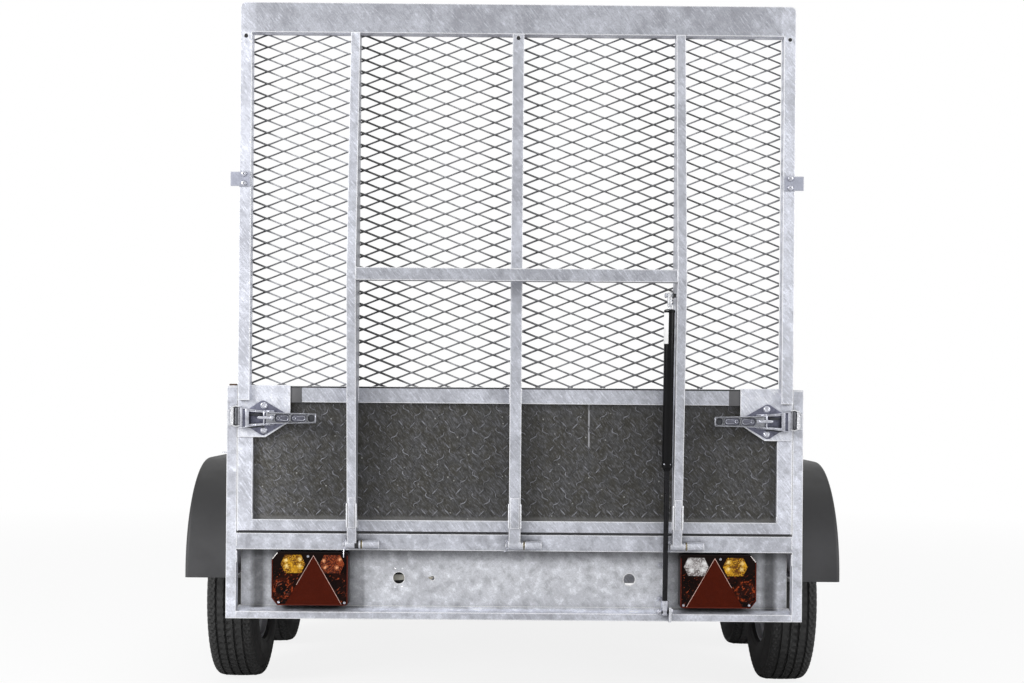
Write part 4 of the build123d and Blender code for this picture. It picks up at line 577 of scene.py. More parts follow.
# ---------------------------------------------------------------- mesh helpers
AXES = {"x": (1, 2, 0), "y": (0, 2, 1), "z": (0, 1, 2)}
LEFTWARD, RIGHTWARD, REARWARD = (-1, 0, 0), (1, 0, 0), (0, -1, 0)


def turns(steps, first=0.0, sweep=2 * math.pi):
    """(cosine, sine) of evenly spaced angles, the last one left out."""
    return [(math.cos(t), math.sin(t)) for t in (first + sweep * k / steps for k in range(steps))]


def mirrored(points):
    """Closed outline from the half of it above z = 0."""
    return [(x, -z) for x, z in reversed(points)] + list(points)


class Shape:
    """Gathers closed forms into one mesh object."""

    def __init__(self):
        self.bm = bmesh.new()

    def skin(self, rings, ends=True):
        """Four-sided faces from each ring of vertices to the next, and the end faces."""
        for low, high in zip(rings, rings[1:]):
            for a in range(len(low)):
                b = (a + 1) % len(low)
                self.bm.faces.new((low[a], low[b], high[b], high[a]))
        if ends:
            self.bm.faces.new(rings[0])
            self.bm.faces.new(rings[-1])

    def ring(self, centre, side, other, steps):
        """Vertices round a centre; side and other are its half axes."""
        return [self.bm.verts.new(centre + side * c + other * s) for c, s in turns(steps)]

    def box(self, x, y, z):
        """Box between two limits along each axis."""
        self.prism([(x[0], z[0]), (x[1], z[0]), (x[1], z[1]), (x[0], z[1])], "y", *y)

    def boxes(self, x, y, z):
        """The same box on the left and on the right."""
        for sign in (-1, 1):
            self.box((sign * x[0], sign * x[1]), y, z)

    def prism(self, outline, axis, low, high, holes=()):
        """Outline in the plane square to an axis, carried from low to high; a hole has as many points."""
        u, v, w = AXES[axis]
        walls = []
        for loop in (outline, *holes):
            walls.append([])
            for level in (low, high):
                ring = []
                for point in loop:
                    at = [0, 0, 0]
                    at[u], at[v], at[w] = point[0], point[1], level
                    ring.append(self.bm.verts.new(at))
                walls[-1].append(ring)
            self.skin(walls[-1], ends=not holes)
        if holes:
            for outer, inner in zip(*walls):
                self.skin([outer, inner], ends=False)

    def lathe(self, profile, base, axis, steps):
        """Turns (distance along the axis, radius) points about an axis through base."""
        axis = Vector(axis).normalized()
        side = axis.orthogonal().normalized()
        other = axis.cross(side)
        base = Vector(base)
        rings = []
        for along, radius in profile:
            centre = base + axis * along
            if radius < 1e-6:
                rings.append([self.bm.verts.new(centre)])
            else:
                rings.append(self.ring(centre, side * radius, other * radius, steps))
        for low, high in zip(rings, rings[1:]):
            for a in range(steps):
                b = (a + 1) % steps
                corners = [low[a % len(low)], low[b % len(low)], high[b % len(high)], high[a % len(high)]]
                unique = list(dict.fromkeys(corners))
                if len(unique) > 2:
                    self.bm.faces.new(unique)
        for ring in (rings[0], rings[-1]):
            if len(ring) > 2:
                self.bm.faces.new(ring)

    def tube(self, path, radius, steps=8):
        """Round bar along a path of points; radius is a number or one per point."""
        path = [Vector(p) for p in path]
        radii = radius if isinstance(radius, (list, tuple)) else [radius] * len(path)
        rings, normal = [], None
        for index, point in enumerate(path):
            run = (path[min(index + 1, len(path) - 1)] - path[max(index - 1, 0)]).normalized()
            normal = run.orthogonal() if normal is None else normal - run * normal.dot(run)
            normal = normal.normalized()
            rings.append(self.ring(point, normal * radii[index], run.cross(normal) * radii[index], steps))
        self.skin(rings)

    def dome(self, at, axis, radius, height, steps):
        """Button head standing on a point."""
        angles = [math.pi / 10 * k for k in range(6)]
        self.lathe([(height * math.sin(t), radius * math.cos(t)) for t in angles], at, axis, steps)

    def bolt(self, at, axis, size, height):
        """Hexagon head with a washer under it; size is across the corners, halved."""
        self.lathe([(0, size * 1.55), (height * 0.28, size * 1.55)], at, axis, 24)
        self.lathe([(height * 0.28, size), (height * 1.13, size), (height * 1.28, size * 0.82)], at, axis, 6)

    def weld(self, start, end, radius):
        """Bead with ripples between two points, half sunk in the joint."""
        start, end = Vector(start), Vector(end)
        count = max(3, int((end - start).length / (radius * 0.9)))
        path = [start.lerp(end, k / count) for k in range(count + 1)]
        radii = [radius * (0.78 + 0.3 * rng.random()) for _ in path]
        radii[0] = radii[-1] = radius * 0.45
        self.tube(path, radii, 8)

    def make(self, name, finish, body, slot, bevel=0.0, replaces=(), sharp=0.45):
        """Closes the mesh and gives it its finish and body; the slot is not used."""
        bm = self.bm
        bmesh.ops.recalc_face_normals(bm, faces=bm.faces)
        if bevel:
            edges = [e for e in bm.edges if len(e.link_faces) == 2 and e.calc_face_angle(0) > 0.6]
            bmesh.ops.bevel(bm, geom=edges, offset=bevel, segments=2, profile=0.5,
                            affect="EDGES", clamp_overlap=True)
        mesh = bpy.data.meshes.new(name)
        bm.to_mesh(mesh)
        bm.free()
        for face in mesh.polygons:
            face.use_smooth = True
        mesh.set_sharp_from_angle(angle=sharp)
        mesh.materials.append(FINISH[finish])
        piece = bpy.data.objects.new(name, mesh)
        bpy.context.scene.collection.objects.link(piece)
        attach(piece, body)
        if replaces:
            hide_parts(*replaces)


def single(name, finish, body, slot, form, *values, **more):
    """A piece made of one form."""
    shape = Shape()
    form(shape, *values)
    shape.make(name, finish, body, slot, **more)


def rounded_outline(points, radius, steps=4):
    """Closed outline with every corner rounded."""
    result = []
    for before, corner, after in zip(points[-1:] + points[:-1], points, points[1:] + points[:1]):
        corner = Vector(corner)
        before, after = Vector(before) - corner, Vector(after) - corner
        reach = min(radius, before.length * 0.45, after.length * 0.45)
        first, last = corner + before.normalized() * reach, corner + after.normalized() * reach
        for t in (k / steps for k in range(steps + 1)):
            result.append(tuple(first * (1 - t) ** 2 + corner * 2 * t * (1 - t) + last * t * t))
    return result


# ---------------------------------------------------------------- expanded mesh
STRAND_LONG, STRAND_SHORT = 0.090, 0.03394
STRAND_PHASE = ((-0.2435, 1.2540), (-0.2534, 1.2522))       # of the sheets left and right of the middle
STRAND_WIDE, STRAND_THICK, STRAND_TILT = 0.0053, 0.0020, math.radians(38)
MESH_Y = REAR + 0.0175
STRAND_STATIONS = (0.0, 0.05, 0.16, 0.5, 0.84, 0.95, 1.0)


def strand_rise(t):
    """Height along half a diamond: nearly straight, easing into the knuckles."""
    return 0.80 * t + 0.20 * (3 * t * t - 2 * t ** 3)


def strand_width(stops, x):
    """Width of a strand, between the stops on either side of x."""
    for (low, _, first), (high, _, last) in zip(stops, stops[1:]):
        if x <= high:
            return STRAND_WIDE * (first + (last - first) * (x - low) / (high - low))


def expanded_mesh():
    """Every strand is a flat bar leaning back, running node to node across the ramp."""
    shapes = {"rising": Shape(), "falling": Shape()}
    half_long, half_short = STRAND_LONG / 2, STRAND_SHORT / 2
    for (start, end), (phase_x, phase_z) in zip(((-MESH_HALF, 0.0), (0.0, MESH_HALF)), STRAND_PHASE):
        first = math.floor((start - phase_x) / half_long) - 1
        last = math.ceil((end - phase_x) / half_long) + 1
        low = math.floor((LOWER_TOP - phase_z) / STRAND_SHORT) - 1
        high = math.ceil((LIP_LOW - phase_z) / STRAND_SHORT) + 1
        for row in range(low, high + 1):
            for direction in (-1, 1):
                for column in range(first, last):
                    run = []
                    for t in STRAND_STATIONS:
                        x = phase_x + (column + t) * half_long
                        rise = strand_rise(t) if column % 2 == 0 else 1 - strand_rise(t)
                        z = phase_z + row * STRAND_SHORT + rise * half_short * direction
                        if start <= x <= end and LOWER_TOP - 0.004 <= z <= LIP_LOW + 0.004:
                            run.append((x, z))
                    if len(run) > 1:
                        rising = (column % 2 == 0) == (direction > 0)
                        strand_bar(shapes["rising" if rising else "falling"], run, RISING if rising else FALLING)
    for way, shape in shapes.items():
        shape.make(f"expanded_mesh_{way}", f"strand_{way}", "ramp", "galvanised", sharp=0.7,
                   replaces=("ramp_mesh",) if way == "rising" else ())


def strand_bar(shape, run, stops):
    """Bar of rectangular section through x, z points."""
    across = Vector((0, math.sin(STRAND_TILT), math.cos(STRAND_TILT)))
    through = Vector((0, math.cos(STRAND_TILT), -math.sin(STRAND_TILT))) * STRAND_THICK / 2
    rings = []
    for x, z in run:
        centre = Vector((x, MESH_Y, z))
        half = strand_width(stops, x) / 2
        rings.append([shape.bm.verts.new(centre + a * half * across + b * through)
                      for a, b in ((-1, -1), (1, -1), (1, 1), (-1, 1))])
    shape.skin(rings)


expanded_mesh()

# ---------------------------------------------------------------- tread plate bars
CELL_X, CELL_Z = 0.0645, 0.0610                     # one V of bars and the curls under its ends
CELL_AT = (-0.3826, 0.6492)                         # middle of one falling bar
BAR_LONG, BAR_WIDE, BAR_HIGH = 0.0235, 0.0042, 0.0015


def tread_bar(shape, at, lean):
    """Raised bar with tapered ends."""
    run = Vector((math.cos(lean), 0, math.sin(lean)))
    cross = Vector((-math.sin(lean), 0, math.cos(lean)))
    centre = Vector((at[0], TREAD_FACE, at[1]))
    ends = ((-1, 0), (-0.62, 0.82), (0, 1), (0.62, 0.82), (1, 0), (0.62, -0.82), (0, -1), (-0.62, -0.82))
    foot = [shape.bm.verts.new(centre + run * a * BAR_LONG / 2 + cross * b * BAR_WIDE / 2) for a, b in ends]
    crown = [shape.bm.verts.new(centre + run * a * BAR_LONG * 0.44 + cross * b * BAR_WIDE * 0.20
                                + Vector((0, -BAR_HIGH, 0))) for a, b in ends]
    shape.skin([foot, crown])


def tread_bars():
    """Rows of V-shaped pairs of bars, joined by low curled ridges between the rows."""
    shape = Shape()
    half_x, low, high = RAMP_HALF - 0.041, 0.6335, 0.950
    curls = (((0.0080, -0.0100), (0.0062, -0.0160), (0.0078, -0.0205), (0.0140, -0.0240), (0.0210, -0.0262),
              (0.0236, -0.0310)),
             ((0.0560, -0.0245), (0.0538, -0.0330), (0.0480, -0.0375), (0.0400, -0.0400), (0.0372, -0.0445),
              (0.0398, -0.0500)))
    for column in range(-7, 18):
        for row in range(7):
            x, z = CELL_AT[0] + column * CELL_X, CELL_AT[1] + row * CELL_Z
            for shift, drop, lean in ((0, 0, -47), (0.0328, -0.0050, 46)):
                at = (x + shift + 0.0012 * (rng.random() - 0.5), z + drop + 0.0012 * (rng.random() - 0.5))
                if abs(at[0]) < half_x - 0.009 and low + 0.008 < at[1] < high - 0.009:
                    tread_bar(shape, at, math.radians(lean + 6 * (rng.random() - 0.5)))
            for curl in curls:
                path = [(x + u, TREAD_FACE - 0.0001, z + v) for u, v in curl]
                if all(abs(px) < half_x - 0.002 and low < pz < high - 0.003 for px, _, pz in path):
                    shape.tube(path, [0.0007, 0.0014, 0.0018, 0.0016, 0.0013, 0.0007], 6)
    shape.make("tread_bars", "bar", "ramp", "tread_plate", sharp=0.9)


tread_bars()

# ---------------------------------------------------------------- latches
LATCH_BACK = GUSSET_FACE - 0.0030
# (start, end, half height) of the handle's pockets, inward of the latch's middle
HANDLE_CELLS = ((0.037, 0.077, 0.0108), (0.081, 0.123, 0.0100), (0.128, 0.1462, 0.0092))


def latch_outline(sign, points):
    """Outline points from distances inward of the latch's middle and above it."""
    return [(sign * (LATCH_X - inward), LATCH_Z + z) for inward, z in points]


def latch_plate(shape, sign, points, near, far, radius=0.0, steps=4):
    """Plate between two heights above the base plate, its corners rounded if asked."""
    outline = latch_outline(sign, points)
    if radius:
        outline = rounded_outline(outline, radius, steps)
    shape.prism(outline, "y", LATCH_BACK - near, LATCH_BACK - far)


def cell(start, end, half, grown=0.0):
    """Corners of one of the handle's pockets."""
    return mirrored([(end + grown, half + grown), (start - grown, half + grown)])


def latch_base(shape, sign):
    """Diamond base plate, blue with passivation."""
    plate = mirrored([(0.072, 0.008), (0.004, 0.0475), (-0.004, 0.0475), (-0.064, 0.008)])
    latch_plate(shape, sign, plate, 0.0, -0.0030, 0.012)
    latch_plate(shape, sign, mirrored([(-0.0535, 0.0250), (-0.0445, 0.0235)]), 0.0135, 0.0090)


def latch_pockets(shape, sign):
    """Floors of the handle's pockets, darkened as painted shade."""
    for pocket in HANDLE_CELLS:
        latch_plate(shape, sign, cell(*pocket), 0.0185, 0.0175, 0.006)


def latch_shade(shape, sign):
    """Dark floor of the last pocket, and the dark cheeks under the claw's arms."""
    latch_plate(shape, sign, cell(*HANDLE_CELLS[-1]), 0.0190, 0.0180, 0.006)
    under = [(-0.030, -0.0285), (0.006, -0.0235), (0.006, -0.0205), (-0.044, -0.0265)]
    latch_plate(shape, sign, under, 0.0100, 0.0060)
    above = [(-0.034, 0.0125), (-0.002, 0.0125), (-0.002, 0.0055), (-0.034, 0.0055)]
    latch_plate(shape, sign, above, 0.0052, 0.0012)


def latch_frame(shape, sign):
    """Bolts, cheeks, hook rod, stamped claw and the handle's bright edges."""
    for z in (-0.034, 0.034):
        x = sign * (LATCH_X - 0.0035)
        shape.lathe([(0, 0.0095), (0.0014, 0.0095), (0.0014, 0.0078)], (x, LATCH_BACK, LATCH_Z + z), REARWARD, 28)
        shape.lathe([(0.0, 0.0082), (0.0034, 0.0080), (0.0046, 0.0062), (0.0036, 0.0052), (0.0030, 0.0022),
                     (0.0042, 0.0)], (x, LATCH_BACK - 0.0006, LATCH_Z + z), REARWARD, 24)
    # cheeks of the base and the handle's pivot pin
    for z in (-0.0185, 0.0185):
        cheek = [(sign * (LATCH_X + 0.026), LATCH_BACK), (sign * (LATCH_X + 0.020), LATCH_BACK - 0.016),
                 (sign * (LATCH_X - 0.012), LATCH_BACK - 0.019), (sign * (LATCH_X - 0.034), LATCH_BACK)]
        shape.prism(rounded_outline(cheek, 0.004), "z", LATCH_Z + z - 0.0013, LATCH_Z + z + 0.0013)
    shape.lathe([(0, 0.0030), (0.042, 0.0030)], (sign * (LATCH_X - 0.006), LATCH_BACK - 0.0125, LATCH_Z - 0.021),
                (0, 0, 1), 16)
    # hook rod with its round end
    shape.lathe([(0, 0.0030), (0.002, 0.0068), (0.009, 0.0072), (0.012, 0.0050), (0.044, 0.0046), (0.048, 0.0024)],
                (sign * (LATCH_X - 0.036), LATCH_BACK - 0.0158, LATCH_Z + 0.001), (sign, 0, 0), 18)
    # bright rails and end of the handle; arms and flanges of the claw, which spread to a bar
    for z in (-1, 1):
        rail = [(0.012, z * 0.0160), (0.150, z * 0.0125), (0.150, z * 0.0112), (0.012, z * 0.0144)]
        latch_plate(shape, sign, rail, 0.0239, 0.0181)
        arm = [(0.014, z * 0.0140), (-0.030, z * 0.0165), (-0.060, z * 0.0235), (-0.060, z * 0.0275),
               (-0.028, z * 0.0225), (0.014, z * 0.0190)]
        latch_plate(shape, sign, arm, 0.0120, 0.0086, 0.003, 3)
        flange = [(0.010, z * 0.0195), (-0.028, z * 0.0235), (-0.060, z * 0.0285), (-0.060, z * 0.0268),
                  (-0.028, z * 0.0218), (0.010, z * 0.0178)]
        latch_plate(shape, sign, flange, 0.0190, 0.0086)
    latch_plate(shape, sign, mirrored([(0.1502, 0.0095), (0.1475, 0.0110)]), 0.0241, 0.0181)
    latch_plate(shape, sign, mirrored([(-0.0448, 0.0245), (-0.0350, 0.0232)]), 0.0180, 0.0086, 0.002, 3)
    latch_plate(shape, sign, mirrored([(-0.0600, 0.0270), (-0.0530, 0.0260)]), 0.0160, 0.0086, 0.002, 3)
    # the loop and the eye cast in each long pocket
    for start, end, half in HANDLE_CELLS[:2]:
        loop = mirrored([(end - 0.0034, 0.0), (end - 0.0045, half * 0.40), (end - 0.009, half * 0.62),
                         (start + 0.016, half * 0.50)])
        del loop[3]
        eye = [(start + 0.0085 + 0.0042 * c, 0.0042 * s) for c, s in turns(12) + turns(1)]
        for path, radius in ((loop, [0.0006, 0.0010, 0.0014, 0.0015, 0.0014, 0.0010, 0.0006]), (eye, 0.0008)):
            shape.tube([(x, LATCH_BACK - 0.0191, z) for x, z in latch_outline(sign, path)], radius, 6)


def latch_handle(shape, sign):
    """Hollow handle: a web with rims round two long pockets and one short one."""
    latch_plate(shape, sign, mirrored([(0.150, 0.0123), (0.012, 0.0158)]), 0.0181, 0.0165, 0.005, 3)
    for pocket in HANDLE_CELLS:
        rim = rounded_outline(latch_outline(sign, cell(*pocket, grown=0.0018)), 0.008)
        hollow = rounded_outline(latch_outline(sign, cell(*pocket)), 0.007)
        shape.prism(rim, "y", LATCH_BACK - 0.0235, LATCH_BACK - 0.0177, holes=(hollow,))


for piece, build, finish, stands_for in (
        ("toggle_latches", latch_frame, "plated", ("latches",)),
        ("latch_bases", latch_base, "plate_dull", ()),
        ("latch_handles", latch_handle, "plate_grey", ()),
        ("latch_pockets", latch_pockets, "pocket", ()),
        ("latch_shades", latch_shade, "plate_dark", ())):
    shape = Shape()
    for sign in SIDES.values():
        build(shape, sign)
    shape.make(piece, finish, "ramp", "zinc_plate", bevel=0.0005, replaces=stands_for)

# curled keeper plates on the posts: a rolled outer edge, a shaded web and arched ends; the curls' bright finish is a
# painted highlight, the grey strips and the dark web are painted shade
curls, webs, trims = Shape(), Shape(), Shape()
KEEPER_MIDDLE, KEEPER_RISE = LATCH_Z + 0.0045, 0.0235
for sign in SIDES.values():
    for way in (-1, 1):
        arch = [(0.7850, -0.0040), (0.7800, 0.0020), (0.7680, 0.0062), (0.7575, 0.0040), (0.7575, 0.0008),
                (0.7680, 0.0030), (0.7790, -0.0012), (0.7830, -0.0050)]
        curls.prism([(sign * x, KEEPER_MIDDLE + way * (KEEPER_RISE + z)) for x, z in arch], "y",
                    REAR - 0.0250, REAR - 0.0020)
    ends = [KEEPER_MIDDLE - KEEPER_RISE, KEEPER_MIDDLE + KEEPER_RISE]
    curls.tube([(sign * 0.7782, REAR - 0.0205, z) for z in ends], 0.0042, 16)
    trims.tube([(sign * 0.7598, REAR - 0.0225, z) for z in ends], 0.0027, 14)
    face = [(sign * 0.7580, REAR - 0.0215), (sign * 0.7640, REAR - 0.0225), (sign * 0.7745, REAR - 0.0190),
            (sign * 0.7745, REAR - 0.0010), (sign * 0.7730, REAR - 0.0010), (sign * 0.7730, REAR - 0.0170),
            (sign * 0.7640, REAR - 0.0205), (sign * 0.7580, REAR - 0.0195)]
    webs.prism(face, "z", *ends)
    trims.tube([(sign * 0.7690, REAR - 0.0212, z) for z in ends], 0.0010, 8)
curls.make("keeper_curls", "roll", "chassis", "zinc_plate")
trims.make("keeper_strips", "plate_grey", "chassis", "zinc_plate")
webs.make("keeper_webs", "plate_dark", "chassis", "zinc_plate")

# ---------------------------------------------------------------- rear lamps
LAMP_IN, LAMP_OUT, LAMP_LOW, LAMP_TOP, LAMP_FACE = 0.4595, 0.6705, 0.3875, 0.5355, REAR + 0.003
TRIANGLE = ((0.555, 0.5256), (0.477, 0.3905), (0.633, 0.3905))          # |x|, z: apex, inner foot, outer foot


def lamp_details(sign, hand):
    """Cover with its round optic, rim, corner glint, screws and reflector edges of one lamp."""
    def on_face(points, rise):
        return [(sign * x, LAMP_FACE - rise, z) for x, z in points]

    outline = [(LAMP_IN + 0.0012, LAMP_LOW + 0.006), (LAMP_IN + 0.0012, LAMP_TOP - 0.006),
               (LAMP_IN + 0.007, LAMP_TOP - 0.0012), (LAMP_OUT - 0.017, LAMP_TOP - 0.0012),
               (LAMP_OUT - 0.0012, LAMP_TOP - 0.021), (LAMP_OUT - 0.0012, LAMP_LOW + 0.021),
               (LAMP_OUT - 0.017, LAMP_LOW + 0.0012), (LAMP_IN + 0.007, LAMP_LOW + 0.0012)]
    cover = Shape()
    cover.prism(rounded_outline([(sign * x, z) for x, z in outline], 0.004), "y", LAMP_FACE - 0.0015,
                LAMP_FACE + 0.0002)
    # round optic low on the outer side, in rings, beside the triangle
    profile = [(0, 0.0275), (0.0022, 0.0275), (0.0024, 0.0250), (0.0004, 0.0235), (0.0026, 0.0200),
               (0.0006, 0.0165), (0.0028, 0.0125), (0.0010, 0.0090), (0.0030, 0.0)]
    cover.lathe(profile, (sign * OPTIC_X, LAMP_FACE - 0.0012, OPTIC_Z), REARWARD, 40)
    cover.make(f"lamp_cover_{hand}", "cover", "chassis", "lamp_black", bevel=0.0004)
    # rim round the sides and the bottom, a brighter red as a painted highlight, and the painted glint on the upper
    # outer corner
    inner, outer = LAMP_IN + 0.0018, LAMP_OUT - 0.0018
    path = [(inner, LAMP_TOP - 0.010), (inner, LAMP_LOW + 0.006), (LAMP_IN + 0.007, LAMP_LOW + 0.0020),
            (LAMP_OUT - 0.017, LAMP_LOW + 0.0020), (outer, LAMP_LOW + 0.021), (outer, LAMP_TOP - 0.021)]
    single(f"lamp_rim_{hand}", "cover_rim", "chassis", "lamp_black", Shape.tube, on_face(path, 0.0022), 0.0017)
    corner = [(LAMP_OUT - 0.0022, LAMP_TOP - 0.0195), (LAMP_OUT - 0.0165, LAMP_TOP - 0.0024)]
    single(f"lamp_corner_{hand}", "glint", "chassis", "lamp_black", Shape.tube, on_face(corner, 0.0024), 0.0011)
    # screws in their wells
    screws = Shape()
    for at in on_face(((0.5700, 0.5233), (0.6502, 0.3966), (0.4685, 0.3956)), 0.0026):
        screws.lathe([(0, 0.0036), (0.0018, 0.0036), (0.0030, 0.0026), (0.0012, 0.0010), (0.0012, 0.0)],
                     at, REARWARD, 18)
    screws.make(f"lamp_screws_{hand}", "plated", "chassis", "zinc_plate")
    # pale edges of the triangle, painted highlights; the outer one sinks into the cover halfway down
    edges = Shape()
    top, inner_foot, outer_foot = map(Vector, on_face(TRIANGLE, 0.0022))
    for foot, share in ((inner_foot, 1.0), (outer_foot, 0.60)):
        edges.tube([top, top.lerp(foot, share)], 0.00062)
    edges.make(f"triangle_edges_{hand}", "reflector_edge", "chassis", "reflector_red")


for hand, sign in SIDES.items():
    lamp_details(sign, hand)

# ---------------------------------------------------------------- hinge fittings
washers, pins = Shape(), Shape()
# (x, z) of the last two bends of each split pin's long leg
SPLIT_PIN_LEGS = (((-0.001, -0.020), (-0.001, -0.036)), ((-0.002, -0.015), (-0.008, -0.017)),
                  ((-0.002, -0.014), (-0.006, -0.018)))
for (rib, _), (knee, tip) in zip(RIBS, SPLIT_PIN_LEGS):
    washers.lathe([(0, 0.0122), (0.0014, 0.0122)], (rib + 0.0255, HINGE_Y, HINGE_Z), RIGHTWARD, 28)
    # split pin through the pin's tail, with its bent legs and its ring
    tail = Vector((rib - 0.0215, HINGE_Y, HINGE_Z))
    ring = [(0.0011 + 0.0030 * c, 0, 0.0118 + 0.0030 * s) for c, s in turns(12, -0.8)]
    for path, radius in (
            (((0, 0, 0.0095), (0, 0, -0.012), (knee[0], -0.004, knee[1]), (tip[0], -0.006, tip[1])), 0.0014),
            (((0.0022, 0, 0.0095), (0.0022, 0, -0.0115), (0.0034, -0.005, -0.0150)), 0.0013), (ring, 0.0011)):
        pins.tube([tail + Vector(point) for point in path], radius)
washers.make("hinge_washers", "brass", "chassis", "galvanised")
# painted shade: a dark ring in the gap beside the left hinge
single("hinge_gap", "hole", "ramp", "galvanised", Shape.lathe, [(0, 0.0117), (0.0105, 0.0117)],
       (-RIB_X + 0.0075, HINGE_Y, HINGE_Z), RIGHTWARD, 28)
pins.make("hinge_split_pins", "plated", "chassis", "galvanised")

frame_welds = Shape()
for rib, _ in RIBS:
    for rise, radius in ((0.0085, 0.0032), (-0.0085, 0.0030)):
        y, z = REAR - 0.001, HINGE_Z + rise
        frame_welds.weld((rib + 0.0295, y, z), (rib + 0.0735, y, z), radius)
for sign in (-1, 1):
    x, y = sign * (POST_IN - 0.001), REAR + 0.001
    for low, high in ((BEAM_LOW - 0.036, BEAM_LOW - 0.004), (FLOOR_Z - 0.036, FLOOR_Z - 0.004),
                      (BOTTOM + 0.002, LIP_TOP)):
        frame_welds.weld((x, y, low), (x, y, high), 0.0020)
frame_welds.make("chassis_welds", "galvanised", "chassis", "galvanised")

foot_beads = Shape()
for (rib, half), (near, far) in zip(RIBS, ((0.0365, 0.0445), (0.0235, 0.0235), (0.0365, 0.0445))):
    for sign in (-1, 1):
        x = rib + sign * (half + 0.0002)
        foot_beads.weld((x, REAR - near, 0.607), (x, REAR - far, 0.674), 0.0026)
foot_beads.make("rib_foot_beads", "bead", "ramp", "galvanised")

ramp_welds = Shape()
for rib, half in RIBS:
    for sign in (-1, 1):
        x, lip = rib + sign * half, (UPPER_FACE + 0.0052, LIP_LOW - 0.0005)
        ramp_welds.weld((x, REAR - 0.001, 0.603), (x, REAR - 0.001, 0.624), 0.0026)
        ramp_welds.weld((x, REAR - 0.001, 0.951), (x, REAR - 0.001, 0.992), 0.0026)
        ramp_welds.weld((x, *lip), (x - sign * 0.003, *lip), 0.0024)
    ramp_welds.weld((rib - half, REAR - 0.004, 0.6005), (rib + half, REAR - 0.004, 0.6005), 0.0030)
BRACE_END, BRACE_FACE = RIB_X - RIB_HALF, -2.2565
for sign in (-1, 1):
    brace, lip = sign * BRACE_END, (UPPER_FACE + 0.012, LIP_LOW - 0.001)
    for start, end, radius in (
            ((sign * MESH_HALF, *lip), (sign * 0.761, *lip), 0.0024),
            ((sign * 0.734, GUSSET_FACE - 0.001, 0.9540), (sign * 0.758, GUSSET_FACE - 0.001, 0.9535), 0.0030),
            ((brace, BRACE_FACE, 1.282), (brace, BRACE_FACE, 1.314), 0.0024),
            ((sign * 0.725, REAR, 0.6255), (sign * 0.725, REAR, 0.6420), 0.0022),
            ((brace, BRACE_FACE + 0.0005, 1.3155), (brace, BRACE_FACE + 0.0305, 1.3155), 0.0024)):
        ramp_welds.weld(start, end, radius)
ramp_welds.make("ramp_welds", "galvanised", "ramp", "galvanised")

# caps that bring the posts level with the ramp's lower frame, and the brown stop on the left one
single("post_caps", "rear", "chassis", "galvanised", Shape.boxes, (0.7686, 0.7964), (REAR, REAR + 0.0298),
       (0.9899, 0.9936))
single("post_stop", "brown", "chassis", "galvanised", Shape.box, (-0.7915, -0.7715),
       (REAR + 0.0030, REAR + 0.0240), (0.9934, 0.9985), bevel=0.0015)
# edge strips that nearly close the ramp onto the posts, and a dark strip of painted shadow under its foot
single("ramp_edge_strips", "sheet", "ramp", "galvanised", Shape.boxes, (0.7659, 0.7681),
       (REAR + 0.0006, REAR + 0.0050), (0.5950, 0.9570))
single("ramp_foot_shadow", "hole", "ramp", "galvanised", Shape.box, (-RAMP_HALF + 0.002, RAMP_HALF - 0.002),
       (REAR - 0.0004, REAR + 0.0012), (RAMP_LOW - 0.0022, RAMP_LOW + 0.0022))
# drain holes at the head of the uprights and the middle rib, as dark discs of painted shade
drains = Shape()
for x, z, face in ((-0.7484, 1.9545, UPPER_FACE), (0.0, 1.9535, REAR - 0.025), (0.7478, 1.9570, UPPER_FACE)):
    drains.lathe([(0, 0.0053), (0.0004, 0.0053)], (x, face + 0.0001, z), REARWARD, 28)
drains.make("drain_holes", "hole", "ramp", "galvanised")

# doubler strips on the ribs' feet
doublers = Shape()
for (rib, half), (low, high) in zip(RIBS, ((-2.1975, -2.2045), (-2.1855, -2.1855), (-2.1975, -2.2045))):
    side = [(low + 0.002, 0.606), (low - 0.0016, 0.606), (high - 0.0016, 0.690), (high + 0.002, 0.690)]
    doublers.prism(side, "x", rib - half + 0.0035, rib + half - 0.0035)
doublers.make("rib_doublers", "galvanised", "ramp", "galvanised", bevel=0.0006)

# button bolts of the lugs
bolts, sockets = Shape(), Shape()
for sign in (-1, 1):
    for z in (1.5487, 1.5750):
        at = (sign * 0.7508, UPPER_FACE - 0.0040, z)
        bolts.lathe([(0, 0.0074), (0.0010, 0.0079), (0.0030, 0.0068), (0.0046, 0.0040), (0.0048, 0.0022),
                     (0.0034, 0.0)], at, REARWARD, 28)
        sockets.lathe([(0.0036, 0.0017), (0.0044, 0.0017)], at, REARWARD, 6)
bolts.make("lug_bolts", "plated", "ramp", "zinc_plate")
sockets.make("lug_sockets", "plate_dark", "ramp", "zinc_plate")

# ---------------------------------------------------------------- gas strut fittings
strut_top, strut_foot = Vector((STRUT_X, -2.244, 1.246)), Vector((STRUT_X, -2.175, 0.380))
strut_run = (strut_foot - strut_top).normalized()
single("strut_sleeve", "cylinder", "strut_cylinder", "painted_black", Shape.lathe,
       [(0.037, 0.0), (0.037, 0.0100), (0.0385, 0.0128), (0.042, 0.0140), (0.466, 0.0140), (0.476, 0.0096),
        (0.478, 0.0078), (0.462, 0.0078), (0.462, 0.0118), (0.046, 0.0118), (0.046, 0.0)],
       strut_top, strut_run, 40, replaces=("strut_cylinder",))
collar = Shape()
collar.lathe([(0, 0.0085), (0.0015, 0.0130), (0.0035, 0.0152), (0.0085, 0.0154), (0.0090, 0.0146)],
             strut_top + strut_run * 0.037, strut_run, 32)
collar.lathe([(0, 0.0146), (0.003, 0.0150), (0.012, 0.0150), (0.016, 0.0105), (0.022, 0.0088)],
             strut_top + strut_run * 0.456, strut_run, 28)
collar.make("strut_collars", "cylinder", "strut_cylinder", "painted_black")
